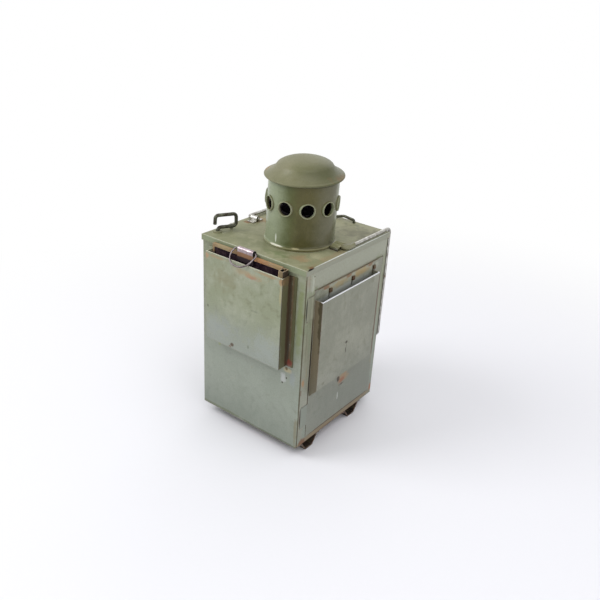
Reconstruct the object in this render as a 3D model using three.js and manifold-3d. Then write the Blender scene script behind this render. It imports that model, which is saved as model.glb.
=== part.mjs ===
// A sheet-steel signal lantern as an assembly of separate pieces.
// Millimetres, +Z up. The door is on the +X side, the large pocket on the -Y side.
// The case is drawn with its floor edge at z = 0 and its walls centred on the Z axis, and the whole
// lantern is then moved so that its origin is the middle of its footprint.
import * as THREE from "three";
import { mergeVertices } from "three/addons/utils/BufferGeometryUtils.js";
import Module from "manifold-3d";

const wasm = await Module();
wasm.setup();

// Case
const caseWidth = 130;
const caseDepth = 142;
const caseHeight = 200;
const sheet = 1.2;
const roofRim = 6;
const floorRim = 7;
const gap = 0.3;
const overrun = 2;

// Corner strip that laps round from the front wall
const stripWidth = 14;
const stripDrop = 10;
const stripFoot = 2;
const notchInset = 1;
const notchWidth = 10;
const notchHeight = 4;

// Doorway and door
const doorFoot = 7.5;
const doorDrop = 25;
const doorBackInset = 8.5;
const doorLap = 4;
const doorwayInset = 17;
const doorSwingGap = 0.3;
const slitDrop = 4;
const slitHeight = 11;
const slitWidth = 2;
const tabDrop = 0.6;
const tabHeight = 4;
const tabReach = 4;
const tabFrontInset = 20.5;
const tabBackInset = 14;
const linerDepth = 5;
const linerBackInset = 10.5;
const linerFoot = 20;
const linerInset = 4;
const catchSlotWidth = 3.2;
const catchSlotHeight = 19;
const catchWidth = 14;
const catchReach = 9;
const catchLeg = 7.5;
const catchDrop = 25;
const catchSheet = 1;
const catchGap = 0.6;

// Hinges
const hingeInset = 5.6;
const hingeDrop = 16.5;
const hingeLower = 36;
const hingeSlot = 26;
const hingePinRadius = 0.8;
const hingeSlotGap = 0.4;
const curlTurn = 250;

// Door pocket
const doorPocketInset = 1;
const doorPocketBackInset = 17.5;
const doorPocketFoot = 57.5;
const doorPocketDrop = 9.5;
const doorPocketDepth = 9;
const doorPocketSlope = 10;

// Front pocket
const pocketInset = 16.4;
const pocketDepth = 13;
const pocketFoot = 94;
const pocketDrop = 9.7;
const pocketFlange = 7.4;

// Slide and its guides
const slideLeftInset = 18.5;
const slideRightInset = 24;
const slideFootGap = 1.3;
const slideDrop = 3;
const slideThick = 3.4;
const slideStandOff = 2.3;
const slideRimTop = 3;
const slideRimSide = 2.4;
const slideGlassThick = 1.6;
const slideGlassBite = 1.2;
const guideSheet = 1;
const guideLip = 3;
const guideTopDrop = 1.3;
const tabWidth = 20;
const tabCentre = -3;
const tabSheet = 0.8;
const tabBore = 1.6;
const tabLeg = 8;
const tabLift = 1.2;
const tabOpen = 60;

// Pull ring
const ringWire = 1;
const ringHalf = 14;
const ringDrop = 18;
const ringTilt = 42;
const ringBend = 3;
const ringRound = 12;
const ringSplit = 0.4;

// Roof opening and chimney
const chimneyX = 12;
const chimneyY = -13;
const chimneyRadius = 34.6;
const roofHoleRadius = 26;
const beadRadius = 36.2;
const beadHeight = 4;
const beadRound = 0.9;
const ventLift = 43;
const ventRadius = 6.2;
const collarLip = 1.1;
const collarStand = 1.6;
const ventCount = 10;
const ventTurn = -44.5;
const rivetLift = 52.5;
const rivetTurn = 34.5;
const rivetRadius = 1.8;
const rivetStand = 1;
const flueRadius = 22;
const flueLift = 32;
const flueFlange = 10;

// Chimney cap
const brimRadius = 39.8;
const brimRoll = 1.1;
const brimLift = 64;
const brimRise = 6.4;
const domeRadius = 29;
const domeRise = 13;
const capSeatGap = 0.15;
const capCollarDrop = 8;

// Bail
const bailWire = 1.65;
const bailPivotY = -5;
const bailLift = 3;
const bailInset = 1.5;
const bailLegInset = 15.6;
const bailStandOff = 5;
const bailReach = 130;
const bailBend = 6;
const bailLegBend = 4;
const sleeveInset = 6.6;
const sleeveBack = 7;
const sleeveRadius = 2.7;
const clipWidth = 8;
const clipInset = 11;
const clipFoot = 5;
const clipSheet = 1.1;

// Turn key, its stop and the coloured screen
const keyWire = 1.65;
const keySideInset = 6.6;
const keyFrontInset = 13.9;
const keyHeading = 27;
const keyLength = 19;
const keyBarLift = 4.8;
const keyTopLift = 17.5;
const keyBend = 3.4;
const keyEndSide = 1.2;
const keyEndDrop = 8;
const keyWasher = 4.5;
const keyWasherThick = 1.2;
const keyStopSide = 3.8;
const keyStopBehind = 16;
const keyStopRadius = 1.5;
const keyStopHeight = 6;
const spindleFoot = 66;
const spindleFit = 0.1;
const screenWidth = 66;
const screenFoot = 75;
const screenTop = 140;
const screenThick = 3;
const screenRim = 5.5;
const screenGlass = 1.6;
const screenBite = 2;
const bracketWidth = 11;
const bracketDrop = 12;
const bracketReach = 5;
const knuckleWall = 1.3;

// Loop at the back of the roof
const loopLeft = -20;
const loopRight = 24;
const loopInset = 4;
const loopRise = 4;
const loopWire = 1.5;
const loopBend = 3;

// Lens on the left wall
const lensRadius = 24;
const lensHeight = 107;
const lensBulge = 5;
const lensEdge = 2.4;
const lensBite = 2;
const retainerLip = 0.8;
const bezelWidth = 4;
const bezelStand = 3;
const retainerWidth = 5;
const lensGuideDepth = 8.5;
const lensGuideLip = 4;
const lensGuideFlange = 5;
const lensGuideHeight = 100;
const lensGuideInset = 53.5;

// Tank and burner
const tankLength = 76;
const tankWidth = 60;
const tankHeight = 30;
const tankCorner = 8;
const railHeight = 9;
const railFoot = 7;
const railLength = 84;
const burnerBore = 11;
const collarRadius = 16;
const collarHeight = 7;
const burnerBase = 17;
const burnerWaist = 12;
const burnerGallery = 18;
const burnerHeight = 42;
const burnerStep = 2.5;
const burnerNeck = 8;
const burnerFlare = 30;
const burnerCapRadius = 13;
const burnerCapRise = 15;
const flameSlotLength = 15.5;
const flameSlotWidth = 5;
const burnerCapSheet = 1;
const wickWidth = 12.8;
const wickThick = 1.8;
const wickFoot = 8;
const wickTop = 83;
const wickGap = 0.4;
const wheelRadius = 4;
const wheelLength = 9;
const wheelTeeth = 10;
const toothDepth = 0.7;
const wheelHeight = 52;
const wheelSpindle = 1.2;
const knobRadius = 7;
const knobThick = 3;
const knobGrips = 12;
const gripDepth = 0.6;
const knobReach = 30;
const fillerEndInset = 14;
const fillerSideInset = 13;
const fillerBore = 5;
const fillerCapRadius = 8;
const fillerCapHeight = 6;
const fillerPlug = 3;
const reflectorRadius = 30;
const reflectorDepth = 10;
const reflectorSheet = 1;
const reflectorSeat = 6;
const reflectorInset = 4;
const stayWidth = 12;

// Skids
const skidFrontInset = 24.3;
const skidBackInset = 38.8;
const skidTopWidth = 27;
const skidFoot = 12;
const skidFlange = 4;
const skidHeight = 11.7;
const skidInset = 10;

// Floor air holes
const airHoleRadius = 4;
const airHoleSpacing = 18;
const airHoleCount = 5;

// Counts of facets
const roundSides = 40;
const innerSides = 28;
const smallSides = 16;
const wireSides = 8;
const bendSteps = 5;

// Places that follow from the sizes above
const right = caseWidth / 2;
const back = caseDepth / 2;
const left = -right;
const front = -back;
const roofUnder = caseHeight - sheet;
const doorInner = right + doorSwingGap;
const doorOuter = doorInner + sheet;
const stripEdge = front + stripWidth;
const stripTop = caseHeight - stripDrop;
const doorStart = stripEdge + gap;
const doorEnd = back - doorBackInset;
const doorTop = caseHeight - doorDrop;
const doorwayFront = front + doorwayInset;
const doorwayBack = doorEnd - doorLap;
const doorwayFoot = doorFoot + doorLap;
const doorwayTop = doorTop - doorLap;
const slitTop = doorTop - slitDrop;
const slitFoot = slitTop - slitHeight;
const tabFirst = doorwayFront + tabFrontInset;
const tabLast = doorwayBack - tabBackInset;
const tabMiddle = (tabFirst + tabLast) / 2;
const tabSpacing = (tabLast - tabFirst) / 2;
const linerBack = doorwayBack - linerBackInset;
const catchFoot = doorTop - catchDrop;
const doorPocketFront = doorStart + doorPocketInset;
const doorPocketBack = doorEnd - doorPocketBackInset;
const doorPocketTop = doorTop - doorPocketDrop;
const hingeLine = front + hingeInset;
const hingeUpper = doorTop - hingeDrop;
const curlInner = hingePinRadius + gap;
const curlOuter = curlInner + sheet;
const hingeX = doorOuter - curlOuter;
const pocketWidth = caseWidth - 2 * pocketInset;
const pocketTop = caseHeight - pocketDrop;
const slideLeft = left + slideLeftInset;
const slideRight = right - slideRightInset;
const slideFoot = pocketFoot + sheet + slideFootGap;
const slideTop = caseHeight - slideDrop;
const slideBack = front - slideStandOff;
const slideFace = slideBack - slideThick;
const ringY = slideFace - tabSheet + tabBore + tabSheet;
const ringZ = slideTop + tabLift + tabBore + tabSheet;
const ventHeight = caseHeight + ventLift;
const rivetHeight = caseHeight + rivetLift;
const flueTop = caseHeight + flueLift;
const brimEdge = caseHeight + brimLift;
const bailHalf = right - bailInset;
const bailInner = right - bailLegInset;
const bailBack = back + bailStandOff;
const bailZ = caseHeight + bailLift;
const bailFoot = bailZ - bailReach;
const sleeveLeft = right - sleeveInset;
const clipMiddle = right - clipInset;
const keyX = left + keySideInset;
const keyY = front + keyFrontInset;
const keyStopX = keyX + keyStopSide;
const keyStopY = keyY + keyStopBehind;
const loopY = back - loopInset;
const lensHole = lensRadius - lensBite;
const lensGuideSpan = caseDepth - lensGuideInset;
const tankFoot = sheet;
const tankTop = tankFoot + tankHeight;
const burnerFoot = tankTop + collarHeight;
const burnerTop = burnerFoot + burnerHeight;
const fillerX = chimneyX - tankLength / 2 + fillerEndInset;
const fillerY = chimneyY + tankWidth / 2 - fillerSideInset;
const reflectorX = chimneyX + tankLength / 2 - reflectorInset;
const skidFrontY = front + skidFrontInset;
const skidBackY = back - skidBackInset;
const skidLeft = left + skidInset;

// Colours and finishes
function paint(color, roughness, metalness) {
  return new THREE.MeshStandardMaterial({ color, roughness, metalness });
}

const olive = paint(0x8c917c, 0.55, 0.2);
const roofOlive = paint(0x84806a, 0.55, 0.2);
const glossOlive = paint(0x5f6340, 0.3, 0.2);
const bareSteel = paint(0x8f8d86, 0.35, 0.9);
const darkWire = paint(0x4a473f, 0.5, 0.8);
const brass = paint(0xa58a4a, 0.35, 0.9);
const tinned = paint(0xb9b9b4, 0.3, 0.9);
const darkGlass = paint(0x2a1c2c, 0.1, 0);
const redGlass = paint(0x7a1414, 0.1, 0);
const clearGlass = paint(0xd5dedb, 0.05, 0);
const cotton = paint(0xcfc6ae, 0.95, 0);

// A closed mesh with shared corners and its faces pointing out
function closed(geometry) {
  geometry.deleteAttribute("normal");
  geometry.deleteAttribute("uv");
  const merged = mergeVertices(geometry, 1e-4);
  const places = merged.attributes.position;
  const corner = [new THREE.Vector3(), new THREE.Vector3(), new THREE.Vector3()];
  const kept = [];
  let volume = 0;
  for (let i = 0; i < merged.index.count; i += 3) {
    const ids = [0, 1, 2].map((k) => merged.index.getX(i + k));
    if (ids[0] === ids[1] || ids[1] === ids[2] || ids[2] === ids[0]) {
      continue;
    }
    ids.forEach((id, k) => corner[k].fromBufferAttribute(places, id));
    volume += corner[0].dot(corner[1].clone().cross(corner[2]));
    kept.push(...ids);
  }
  merged.setIndex(volume < 0 ? kept.reverse() : kept);
  return merged;
}

function solid(geometry) {
  const shape = closed(geometry);
  const mesh = new wasm.Mesh({
    numProp: 3,
    vertProperties: new Float32Array(shape.attributes.position.array),
    triVerts: new Uint32Array(shape.index.array),
  });
  return new wasm.Manifold(mesh);
}

function surface(manifold) {
  const mesh = manifold.getMesh();
  const geometry = new THREE.BufferGeometry();
  geometry.setAttribute("position", new THREE.BufferAttribute(mesh.vertProperties, 3));
  geometry.setIndex(new THREE.BufferAttribute(mesh.triVerts, 1));
  return geometry;
}

function cut(base, ...tools) {
  return surface(tools.reduce((whole, tool) => whole.subtract(solid(tool)), solid(base)));
}

function join(base, ...others) {
  return surface(others.reduce((whole, other) => whole.add(solid(other)), solid(base)));
}

// A block between two corners
function block(x0, x1, y0, y1, z0, z1) {
  const geometry = new THREE.BoxGeometry(x1 - x0, y1 - y0, z1 - z0);
  return geometry.translate((x0 + x1) / 2, (y0 + y1) / 2, (z0 + z1) / 2);
}

function outline(points) {
  return new THREE.Shape(points.map(([u, v]) => new THREE.Vector2(u, v)));
}

function straight(shape, length) {
  return new THREE.ExtrudeGeometry(shape, { depth: length, bevelEnabled: false, curveSegments: bendSteps });
}

// Outlines pulled along one axis: (x, y) along Z, (y, z) along X and (x, z) along Y
function alongZ(points, from, to) {
  return straight(outline(points), to - from).translate(0, 0, from);
}

function turnAxes(geometry, first, second, third) {
  return geometry.applyMatrix4(new THREE.Matrix4().makeBasis(first, second, third));
}

const unitX = new THREE.Vector3(1, 0, 0);
const unitY = new THREE.Vector3(0, 1, 0);
const unitZ = new THREE.Vector3(0, 0, 1);

function alongX(points, from, to) {
  return turnAxes(straight(outline(points), to - from), unitY, unitZ, unitX).translate(from, 0, 0);
}

function alongY(points, from, to) {
  const turnedPoints = points.map(([x, z]) => [z, x]);
  return turnAxes(straight(outline(turnedPoints), to - from), unitZ, unitX, unitY).translate(0, from, 0);
}

// A turned piece from a closed profile of [radius, height], about Z
function turned(profile, sides) {
  const points = [...profile, profile[0]].map(([r, z]) => new THREE.Vector2(r, z));
  return new THREE.LatheGeometry(points, sides).rotateX(Math.PI / 2);
}

function rod(radius, from, to, sides) {
  return new THREE.CylinderGeometry(radius, radius, to - from, sides)
    .rotateX(Math.PI / 2)
    .translate(0, 0, (from + to) / 2);
}

// A route through the corners with a round bend at each inner one
function bent(corners, radii) {
  const points = [corners[0]];
  for (let i = 1; i < corners.length - 1; i += 1) {
    const radius = radii[i - 1];
    const before = corners[i - 1].clone().sub(corners[i]).normalize();
    const after = corners[i + 1].clone().sub(corners[i]).normalize();
    const half = before.angleTo(after) / 2;
    const middle = before.clone().add(after).normalize();
    const centre = corners[i].clone().addScaledVector(middle, radius / Math.sin(half));
    const start = corners[i].clone().addScaledVector(before, radius / Math.tan(half)).sub(centre);
    const end = corners[i].clone().addScaledVector(after, radius / Math.tan(half)).sub(centre);
    const axis = start.clone().cross(end).normalize();
    const turn = start.angleTo(end);
    for (let k = 0; k <= bendSteps; k += 1) {
      points.push(start.clone().applyAxisAngle(axis, (turn * k) / bendSteps).add(centre));
    }
  }
  points.push(corners[corners.length - 1]);
  return points;
}

// A route whose steps lie at its own points, so that straight runs take one step
class Route extends THREE.Curve {
  constructor(points) {
    super();
    this.points = points;
  }

  getPoint(t) {
    const last = this.points.length - 1;
    const place = t * last;
    const step = Math.min(Math.floor(place), last - 1);
    return this.points[step].clone().lerp(this.points[step + 1], place - step);
  }

  getPointAt(t) {
    return this.getPoint(t);
  }

  getTangentAt(t) {
    const last = this.points.length - 1;
    const step = Math.round(t * last);
    const here = this.points[step];
    const before = this.points[Math.max(step - 1, 0)];
    const after = this.points[Math.min(step + 1, last)];
    const coming = here.clone().sub(before).normalize();
    const going = after.clone().sub(here).normalize();
    return coming.add(going).normalize();
  }
}

function wire(points, radius) {
  const route = new Route(points);
  const section = outline(arc(0, 0, radius, 0, 360, wireSides).slice(1));
  const options = { steps: points.length - 1, extrudePath: route };
  return new THREE.ExtrudeGeometry(section, options);
}

function arc(x, y, radius, fromDegrees, toDegrees, steps) {
  const points = [];
  for (let i = 0; i <= steps; i += 1) {
    const angle = THREE.MathUtils.degToRad(fromDegrees + ((toDegrees - fromDegrees) * i) / steps);
    points.push([x + radius * Math.cos(angle), y + radius * Math.sin(angle)]);
  }
  return points;
}

// The lantern and its moving bodies
const lantern = new THREE.Group();
const fixed = new THREE.Group();
const slide = new THREE.Group();
const door = new THREE.Group();
const key = new THREE.Group();
const burner = new THREE.Group();
fixed.add(burner);
lantern.add(fixed, slide, door, key);

function piece(parent, name, geometry, material, x = 0, y = 0, z = 0) {
  const mesh = new THREE.Mesh(closed(geometry), material);
  mesh.name = name;
  mesh.position.set(x, y, z);
  parent.add(mesh);
  return mesh;
}

// Case: four walls of one sheet, with the doorway, the lens hole, the lapped corner strip and its slots
function bodyShell() {
  const slotFront = hingeLine - curlOuter - hingeSlotGap;
  const slotBack = hingeLine + curlOuter + hingeSlotGap;
  const inside = right - sheet - overrun;
  const outside = right + sheet + overrun;
  const walls = cut(
    block(left, right, front, back, 0, roofUnder),
    block(left + sheet, right - sheet, front + sheet, back - sheet, -overrun, roofUnder + overrun),
    block(inside, outside, doorwayFront, doorwayBack, doorwayFoot, doorwayTop),
    block(inside, outside, doorEnd, doorEnd + catchSlotWidth, doorTop - catchSlotHeight, doorTop),
    rod(lensHole, -overrun, sheet + overrun, innerSides).rotateY(Math.PI / 2)
      .translate(left, chimneyY, lensHeight),
  );
  const strip = block(right, right + sheet, front, stripEdge, stripFoot, stripTop);
  const notchFront = front + notchInset;
  const notchTop = stripTop + notchHeight;
  const cuts = [block(inside, outside, notchFront, notchFront + notchWidth, stripTop, notchTop)];
  for (const middle of [hingeLower, hingeUpper]) {
    const foot = middle - hingeSlot / 2;
    cuts.push(block(inside, outside, slotFront, slotBack, foot, foot + hingeSlot));
    cuts.push(block(right, outside, slotFront, stripEdge + overrun, foot, foot + hingeSlot));
  }
  return cut(join(walls, strip), ...cuts);
}

function roofPlate() {
  return cut(
    block(left - sheet, right + sheet, front - sheet, back + sheet, caseHeight - roofRim, caseHeight),
    block(left, right, front, back, caseHeight - roofRim - overrun, roofUnder),
    rod(roofHoleRadius, roofUnder - overrun, caseHeight + overrun, roundSides)
      .translate(chimneyX, chimneyY, 0),
    rod(keyWire + gap, roofUnder - overrun, caseHeight + overrun, smallSides).translate(keyX, keyY, 0),
  );
}

function floorPlate() {
  const holes = [];
  for (let i = 0; i < airHoleCount; i += 1) {
    const x = chimneyX + (i - (airHoleCount - 1) / 2) * airHoleSpacing;
    holes.push(rod(airHoleRadius, -overrun, sheet + overrun, smallSides).translate(x, chimneyY, 0));
  }
  const tray = (wall, foot, top) => block(left + wall, right - wall, front + wall, back - wall, foot, top);
  return cut(tray(sheet, 0, floorRim), tray(2 * sheet, sheet, floorRim + overrun), ...holes);
}

// A hat section, open at both ends, with its flanges under the floor
function skid() {
  const top = skidTopWidth / 2;
  const foot = skidFoot / 2;
  const lean = (top - foot) / (skidHeight - sheet);
  const wall = sheet * Math.hypot(1, lean);
  const inner = foot + lean * sheet - wall;
  return alongX([
    [-top - skidFlange, 0], [-top - skidFlange, -sheet], [-top, -sheet], [-foot, -skidHeight],
    [foot, -skidHeight], [top, -sheet], [top + skidFlange, -sheet], [top + skidFlange, 0],
    [top - wall + lean * sheet, 0], [inner, sheet - skidHeight], [-inner, sheet - skidHeight],
    [wall - top - lean * sheet, 0],
  ], skidLeft, right);
}

piece(fixed, "body_shell", bodyShell(), olive);
piece(fixed, "roof_plate", roofPlate(), roofOlive);
piece(fixed, "floor_plate", floorPlate(), olive);
piece(fixed, "skid_front", skid(), olive, 0, skidFrontY, 0);
piece(fixed, "skid_back", skid(), olive, 0, skidBackY, 0);

for (const [name, middle] of [["hinge_pin_lower", hingeLower], ["hinge_pin_upper", hingeUpper]]) {
  const pin = rod(hingePinRadius, -hingeSlot / 2, hingeSlot / 2, smallSides);
  piece(fixed, name, pin, bareSteel, hingeX, hingeLine, middle);
}

// Cap: a dome on a sloping brim with a rolled edge; the tube and the collar reach up to its underside
const domeFoot = brimEdge + brimRise;
const domeArc = (domeRadius ** 2 + domeRise ** 2) / (2 * domeRise);
const domeCentre = domeFoot + domeRise - domeArc;
const domeTurn = THREE.MathUtils.radToDeg(Math.asin((domeFoot - domeCentre) / domeArc));
const [brimInner] = arc(0, domeCentre, domeArc - sheet, domeTurn, 90, 1);
const brimCurl = arc(brimRadius - brimRoll, brimEdge, brimRoll, 60, -150, bendSteps);
const brimUnder = brimCurl[bendSteps];

function underBrim(radius) {
  const share = (radius - brimInner[0]) / (brimUnder[0] - brimInner[0]);
  return THREE.MathUtils.lerp(brimInner[1], brimUnder[1], share) - capSeatGap;
}

// Chimney: a tube with a bead at its foot and a ring of vents with flanged collars
function chimneyTube() {
  const inner = chimneyRadius - sheet;
  const foot = caseHeight;
  const beadTop = foot + beadHeight;
  const tube = turned([
    [inner, foot], [beadRadius - beadRound, foot], [beadRadius, foot + beadRound],
    [beadRadius, beadTop - beadRound], [beadRadius - beadRound, beadTop], [chimneyRadius, beadTop],
    [chimneyRadius, underBrim(chimneyRadius)], [inner, underBrim(inner)],
  ], roundSides);
  const collars = [];
  const holes = [];
  for (let i = 0; i < ventCount; i += 1) {
    const turn = THREE.MathUtils.degToRad(ventTurn + (360 * i) / ventCount);
    const place = (radial) => radial.rotateY(Math.PI / 2).rotateZ(turn).translate(0, 0, ventHeight);
    const lip = ventRadius + collarLip;
    const mouth = chimneyRadius + collarStand;
    collars.push(place(rod(lip, inner + gap / 2, mouth, smallSides)));
    holes.push(place(rod(ventRadius, inner - sheet - overrun, mouth + overrun, smallSides)));
  }
  return cut(join(tube, ...collars), ...holes);
}

function innerFlue() {
  const foot = roofUnder - sheet;
  return turned([
    [flueRadius - sheet, foot], [flueRadius + flueFlange, foot], [flueRadius + flueFlange, roofUnder],
    [flueRadius, roofUnder], [flueRadius, flueTop], [flueRadius - sheet, flueTop],
  ], roundSides);
}

function capCollar() {
  const outer = chimneyRadius - sheet - gap;
  const inner = outer - sheet;
  return turned([
    [inner, underBrim(outer) - capCollarDrop], [outer, underBrim(outer) - capCollarDrop],
    [outer, underBrim(outer)], [inner, underBrim(inner)],
  ], roundSides);
}

function chimneyCap() {
  const outer = arc(0, domeCentre, domeArc, 90, domeTurn, bendSteps + 2).slice(1);
  const inner = arc(0, domeCentre, domeArc - sheet, domeTurn, 90, bendSteps).slice(0, -1);
  return turned([
    [0, domeFoot + domeRise], ...outer, ...brimCurl, ...inner, [0, domeFoot + domeRise - sheet],
  ], roundSides);
}

piece(fixed, "chimney_tube", chimneyTube(), glossOlive, chimneyX, chimneyY, 0);
piece(fixed, "inner_flue", innerFlue(), tinned, chimneyX, chimneyY, 0);
piece(fixed, "cap_collar", capCollar(), glossOlive, chimneyX, chimneyY, 0);
piece(fixed, "chimney_cap", chimneyCap(), glossOlive, chimneyX, chimneyY, 0);

const rivetAngle = THREE.MathUtils.degToRad(rivetTurn);
const rivet = piece(fixed, "chimney_rivet", turned([
  [0, 0], [rivetRadius, 0], [rivetRadius * Math.SQRT1_2, rivetStand * Math.SQRT1_2], [0, rivetStand],
], smallSides), glossOlive);
rivet.position.set(
  chimneyX + chimneyRadius * Math.cos(rivetAngle),
  chimneyY + chimneyRadius * Math.sin(rivetAngle),
  rivetHeight,
);
rivet.rotation.set(0, Math.PI / 2, rivetAngle, "ZYX");

// Front pocket: a hat section with a floor, open at the top
function frontPocket() {
  const half = pocketWidth / 2;
  const face = front - pocketDepth;
  const flange = front - sheet;
  const folded = alongZ([
    [-half - pocketFlange, front], [-half - pocketFlange, flange], [-half, flange], [-half, face],
    [half, face], [half, flange], [half + pocketFlange, flange], [half + pocketFlange, front],
    [half - sheet, front], [half - sheet, face + sheet], [sheet - half, face + sheet], [sheet - half, front],
  ], pocketFoot, pocketTop);
  return join(folded, block(-half, half, face, front, pocketFoot, pocketFoot + sheet));
}

// Guide strips: the right one leaves a hollow channel between the slide and the pocket's side
function guideRight() {
  const side = pocketWidth / 2 - sheet;
  const web = slideRight + gap;
  const lip = slideFace - gap;
  return alongZ([
    [side, front], [side, front - guideSheet], [web + guideSheet, front - guideSheet],
    [web + guideSheet, lip - guideSheet], [slideRight - guideLip, lip - guideSheet],
    [slideRight - guideLip, lip], [web, lip], [web, front],
  ], pocketFoot + sheet, pocketTop - guideTopDrop);
}

function guideLeft() {
  const side = sheet - pocketWidth / 2;
  const web = slideLeft - gap;
  const lip = slideFace - gap;
  return alongZ([
    [side, front], [side, lip - guideSheet], [slideLeft + guideLip, lip - guideSheet],
    [slideLeft + guideLip, lip], [web, lip], [web, front],
  ], pocketFoot + sheet, pocketTop - guideTopDrop);
}

piece(fixed, "front_pocket", frontPocket(), olive);
piece(fixed, "pocket_guide_right", guideRight(), olive);
piece(fixed, "pocket_guide_left", guideLeft(), olive);

// Slide: a frame grooved inside for its glass
function framed(glassGap, x0, x1, y0, y1, z0, z1, sideRim, topRim, bite, glassThick) {
  const middle = (y0 + y1) / 2;
  const half = glassThick / 2 + glassGap;
  const reach = bite + glassGap;
  return cut(
    block(x0, x1, y0, y1, z0, z1),
    block(x0 + sideRim, x1 - sideRim, y0 - overrun, y1 + overrun, z0 + topRim, z1 - topRim),
    block(x0 + sideRim - reach, x1 - sideRim + reach, middle - half, middle + half,
      z0 + topRim - reach, z1 - topRim + reach),
  );
}

function pane(x0, x1, y0, y1, z0, z1, sideRim, topRim, bite, glassThick) {
  const middle = (y0 + y1) / 2;
  return block(x0 + sideRim - bite, x1 - sideRim + bite, middle - glassThick / 2, middle + glassThick / 2,
    z0 + topRim - bite, z1 - topRim + bite);
}

const slideBox = [slideLeft, slideRight, slideFace, slideBack, slideFoot, slideTop];
const slideRims = [slideRimSide, slideRimTop, slideGlassBite, slideGlassThick];
piece(slide, "slide_frame", framed(gap / 2, ...slideBox, ...slideRims), roofOlive);
piece(slide, "slide_glass", pane(...slideBox, ...slideRims), darkGlass);

// A strip on the front of the frame, rolled over at the top to carry the ring
function slideTab() {
  const outer = tabBore + tabSheet;
  const foot = slideTop - tabLeg;
  return alongX([
    [slideFace - tabSheet, foot], ...arc(ringY, ringZ, outer, 180, -tabOpen, 2 * bendSteps),
    ...arc(ringY, ringZ, tabBore, -tabOpen, 180, 2 * bendSteps), [slideFace, foot],
  ], tabCentre - tabWidth / 2, tabCentre + tabWidth / 2);
}

// A bent wire ring with a straight bar in the rolled tab, where its two ends meet
function pullRing() {
  const tilt = THREE.MathUtils.degToRad(ringTilt);
  const place = (u, v) => new THREE.Vector3(
    tabCentre + u, ringY - v * Math.cos(tilt), ringZ - v * Math.sin(tilt),
  );
  const route = bent([
    place(ringSplit / 2, 0), place(ringHalf, 0), place(ringHalf, ringDrop),
    place(-ringHalf, ringDrop), place(-ringHalf, 0), place(-ringSplit / 2, 0),
  ], [ringBend, ringRound, ringRound, ringBend]);
  return wire(route, ringWire);
}

piece(slide, "slide_tab", slideTab(), bareSteel);
piece(slide, "pull_ring", pullRing(), bareSteel);

// Door: a flat panel that lies over the doorway, with two tongues curled round the hinge pins
function doorPanel() {
  const curlOut = arc(hingeX, hingeLine, curlOuter, 0, -curlTurn, 3 * bendSteps);
  const curlIn = arc(hingeX, hingeLine, curlInner, -curlTurn, 0, 3 * bendSteps);
  const tongue = [...curlOut, ...curlIn, [doorInner, doorStart + sheet], [doorOuter, doorStart + sheet]];
  const reach = hingeSlot / 2 - hingeSlotGap;
  const tongues = [hingeLower, hingeUpper].map((middle) => alongZ(tongue, middle - reach, middle + reach));
  const slits = [-1, 0, 1].map((place) => {
    const y = tabMiddle + place * tabSpacing;
    return block(doorInner - overrun, doorOuter + overrun, y - slitWidth / 2, y + slitWidth / 2,
      slitFoot, slitTop);
  });
  const panel = block(doorInner, doorOuter, doorStart, doorEnd, doorFoot, doorTop);
  return cut(join(panel, ...tongues), ...slits);
}

// Inner sheet of the door: a tray held by three tabs that pass through slits and are bent over
function doorLiner() {
  const plate = doorInner - linerDepth;
  const liningFront = doorwayFront + linerInset;
  const top = slitTop - tabDrop;
  const foot = top - tabHeight;
  const tray = alongZ([
    [doorInner, liningFront], [plate - sheet, liningFront], [plate - sheet, linerBack],
    [doorInner, linerBack], [doorInner, linerBack - sheet], [plate, linerBack - sheet],
    [plate, liningFront + sheet], [doorInner, liningFront + sheet],
  ], linerFoot, top);
  const tabs = [-1, 0, 1].flatMap((place) => {
    const y = tabMiddle + place * tabSpacing;
    const neck = sheet / 2;
    const face = doorOuter + gap;
    return [
      block(plate - sheet / 2, face + sheet, y - neck, y + neck, foot, top),
      block(face, face + sheet, y - neck, y - neck + tabReach, foot, top),
    ];
  });
  return join(tray, ...tabs);
}

// Door pocket: a plate with side walls and a slanted floor, open at the top
function doorPocket() {
  const face = doorOuter + doorPocketDepth;
  const slope = doorPocketSlope / doorPocketDepth;
  const floor = doorPocketFoot + sheet * Math.hypot(1, slope);
  const corner = floor + (doorPocketDepth - sheet) * slope;
  const outside = alongY([
    [doorOuter, doorPocketFoot], [face, doorPocketFoot + doorPocketSlope],
    [face, doorPocketTop], [doorOuter, doorPocketTop],
  ], doorPocketFront, doorPocketBack);
  const inside = alongY([
    [doorOuter - overrun, floor - overrun * slope], [face - sheet, corner],
    [face - sheet, doorPocketTop + overrun], [doorOuter - overrun, doorPocketTop + overrun],
  ], doorPocketFront + sheet, doorPocketBack - sheet);
  return cut(outside, inside);
}

// Spring catch: a folded strip that grips the edge of the doorway
function doorCatch() {
  const end = doorwayBack - catchGap;
  return alongZ([
    [doorInner, end - catchLeg], [doorInner, end], [doorInner - catchReach, end],
    [doorInner - catchReach, end - catchSheet], [doorInner - catchSheet, end - catchSheet],
    [doorInner - catchSheet, end - catchLeg],
  ], catchFoot, catchFoot + catchWidth);
}

piece(door, "door_panel", doorPanel(), olive);
piece(door, "door_liner", doorLiner(), tinned);
piece(door, "door_pocket", doorPocket(), olive);
piece(door, "door_catch", doorCatch(), bareSteel);

// Bail: one bent wire from clip to clip, folded down behind the back
function bailRoute() {
  const side = (sign) => [
    new THREE.Vector3(sign * bailInner, bailPivotY, bailZ),
    new THREE.Vector3(sign * bailHalf, bailPivotY, bailZ),
    new THREE.Vector3(sign * bailHalf, bailBack, bailZ),
    new THREE.Vector3(sign * bailHalf, bailBack, bailFoot),
  ];
  const radii = [bailLegBend, bailBend, bailBend];
  return bent([...side(-1), ...side(1).reverse()], [...radii, ...radii.slice().reverse()]);
}

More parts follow.
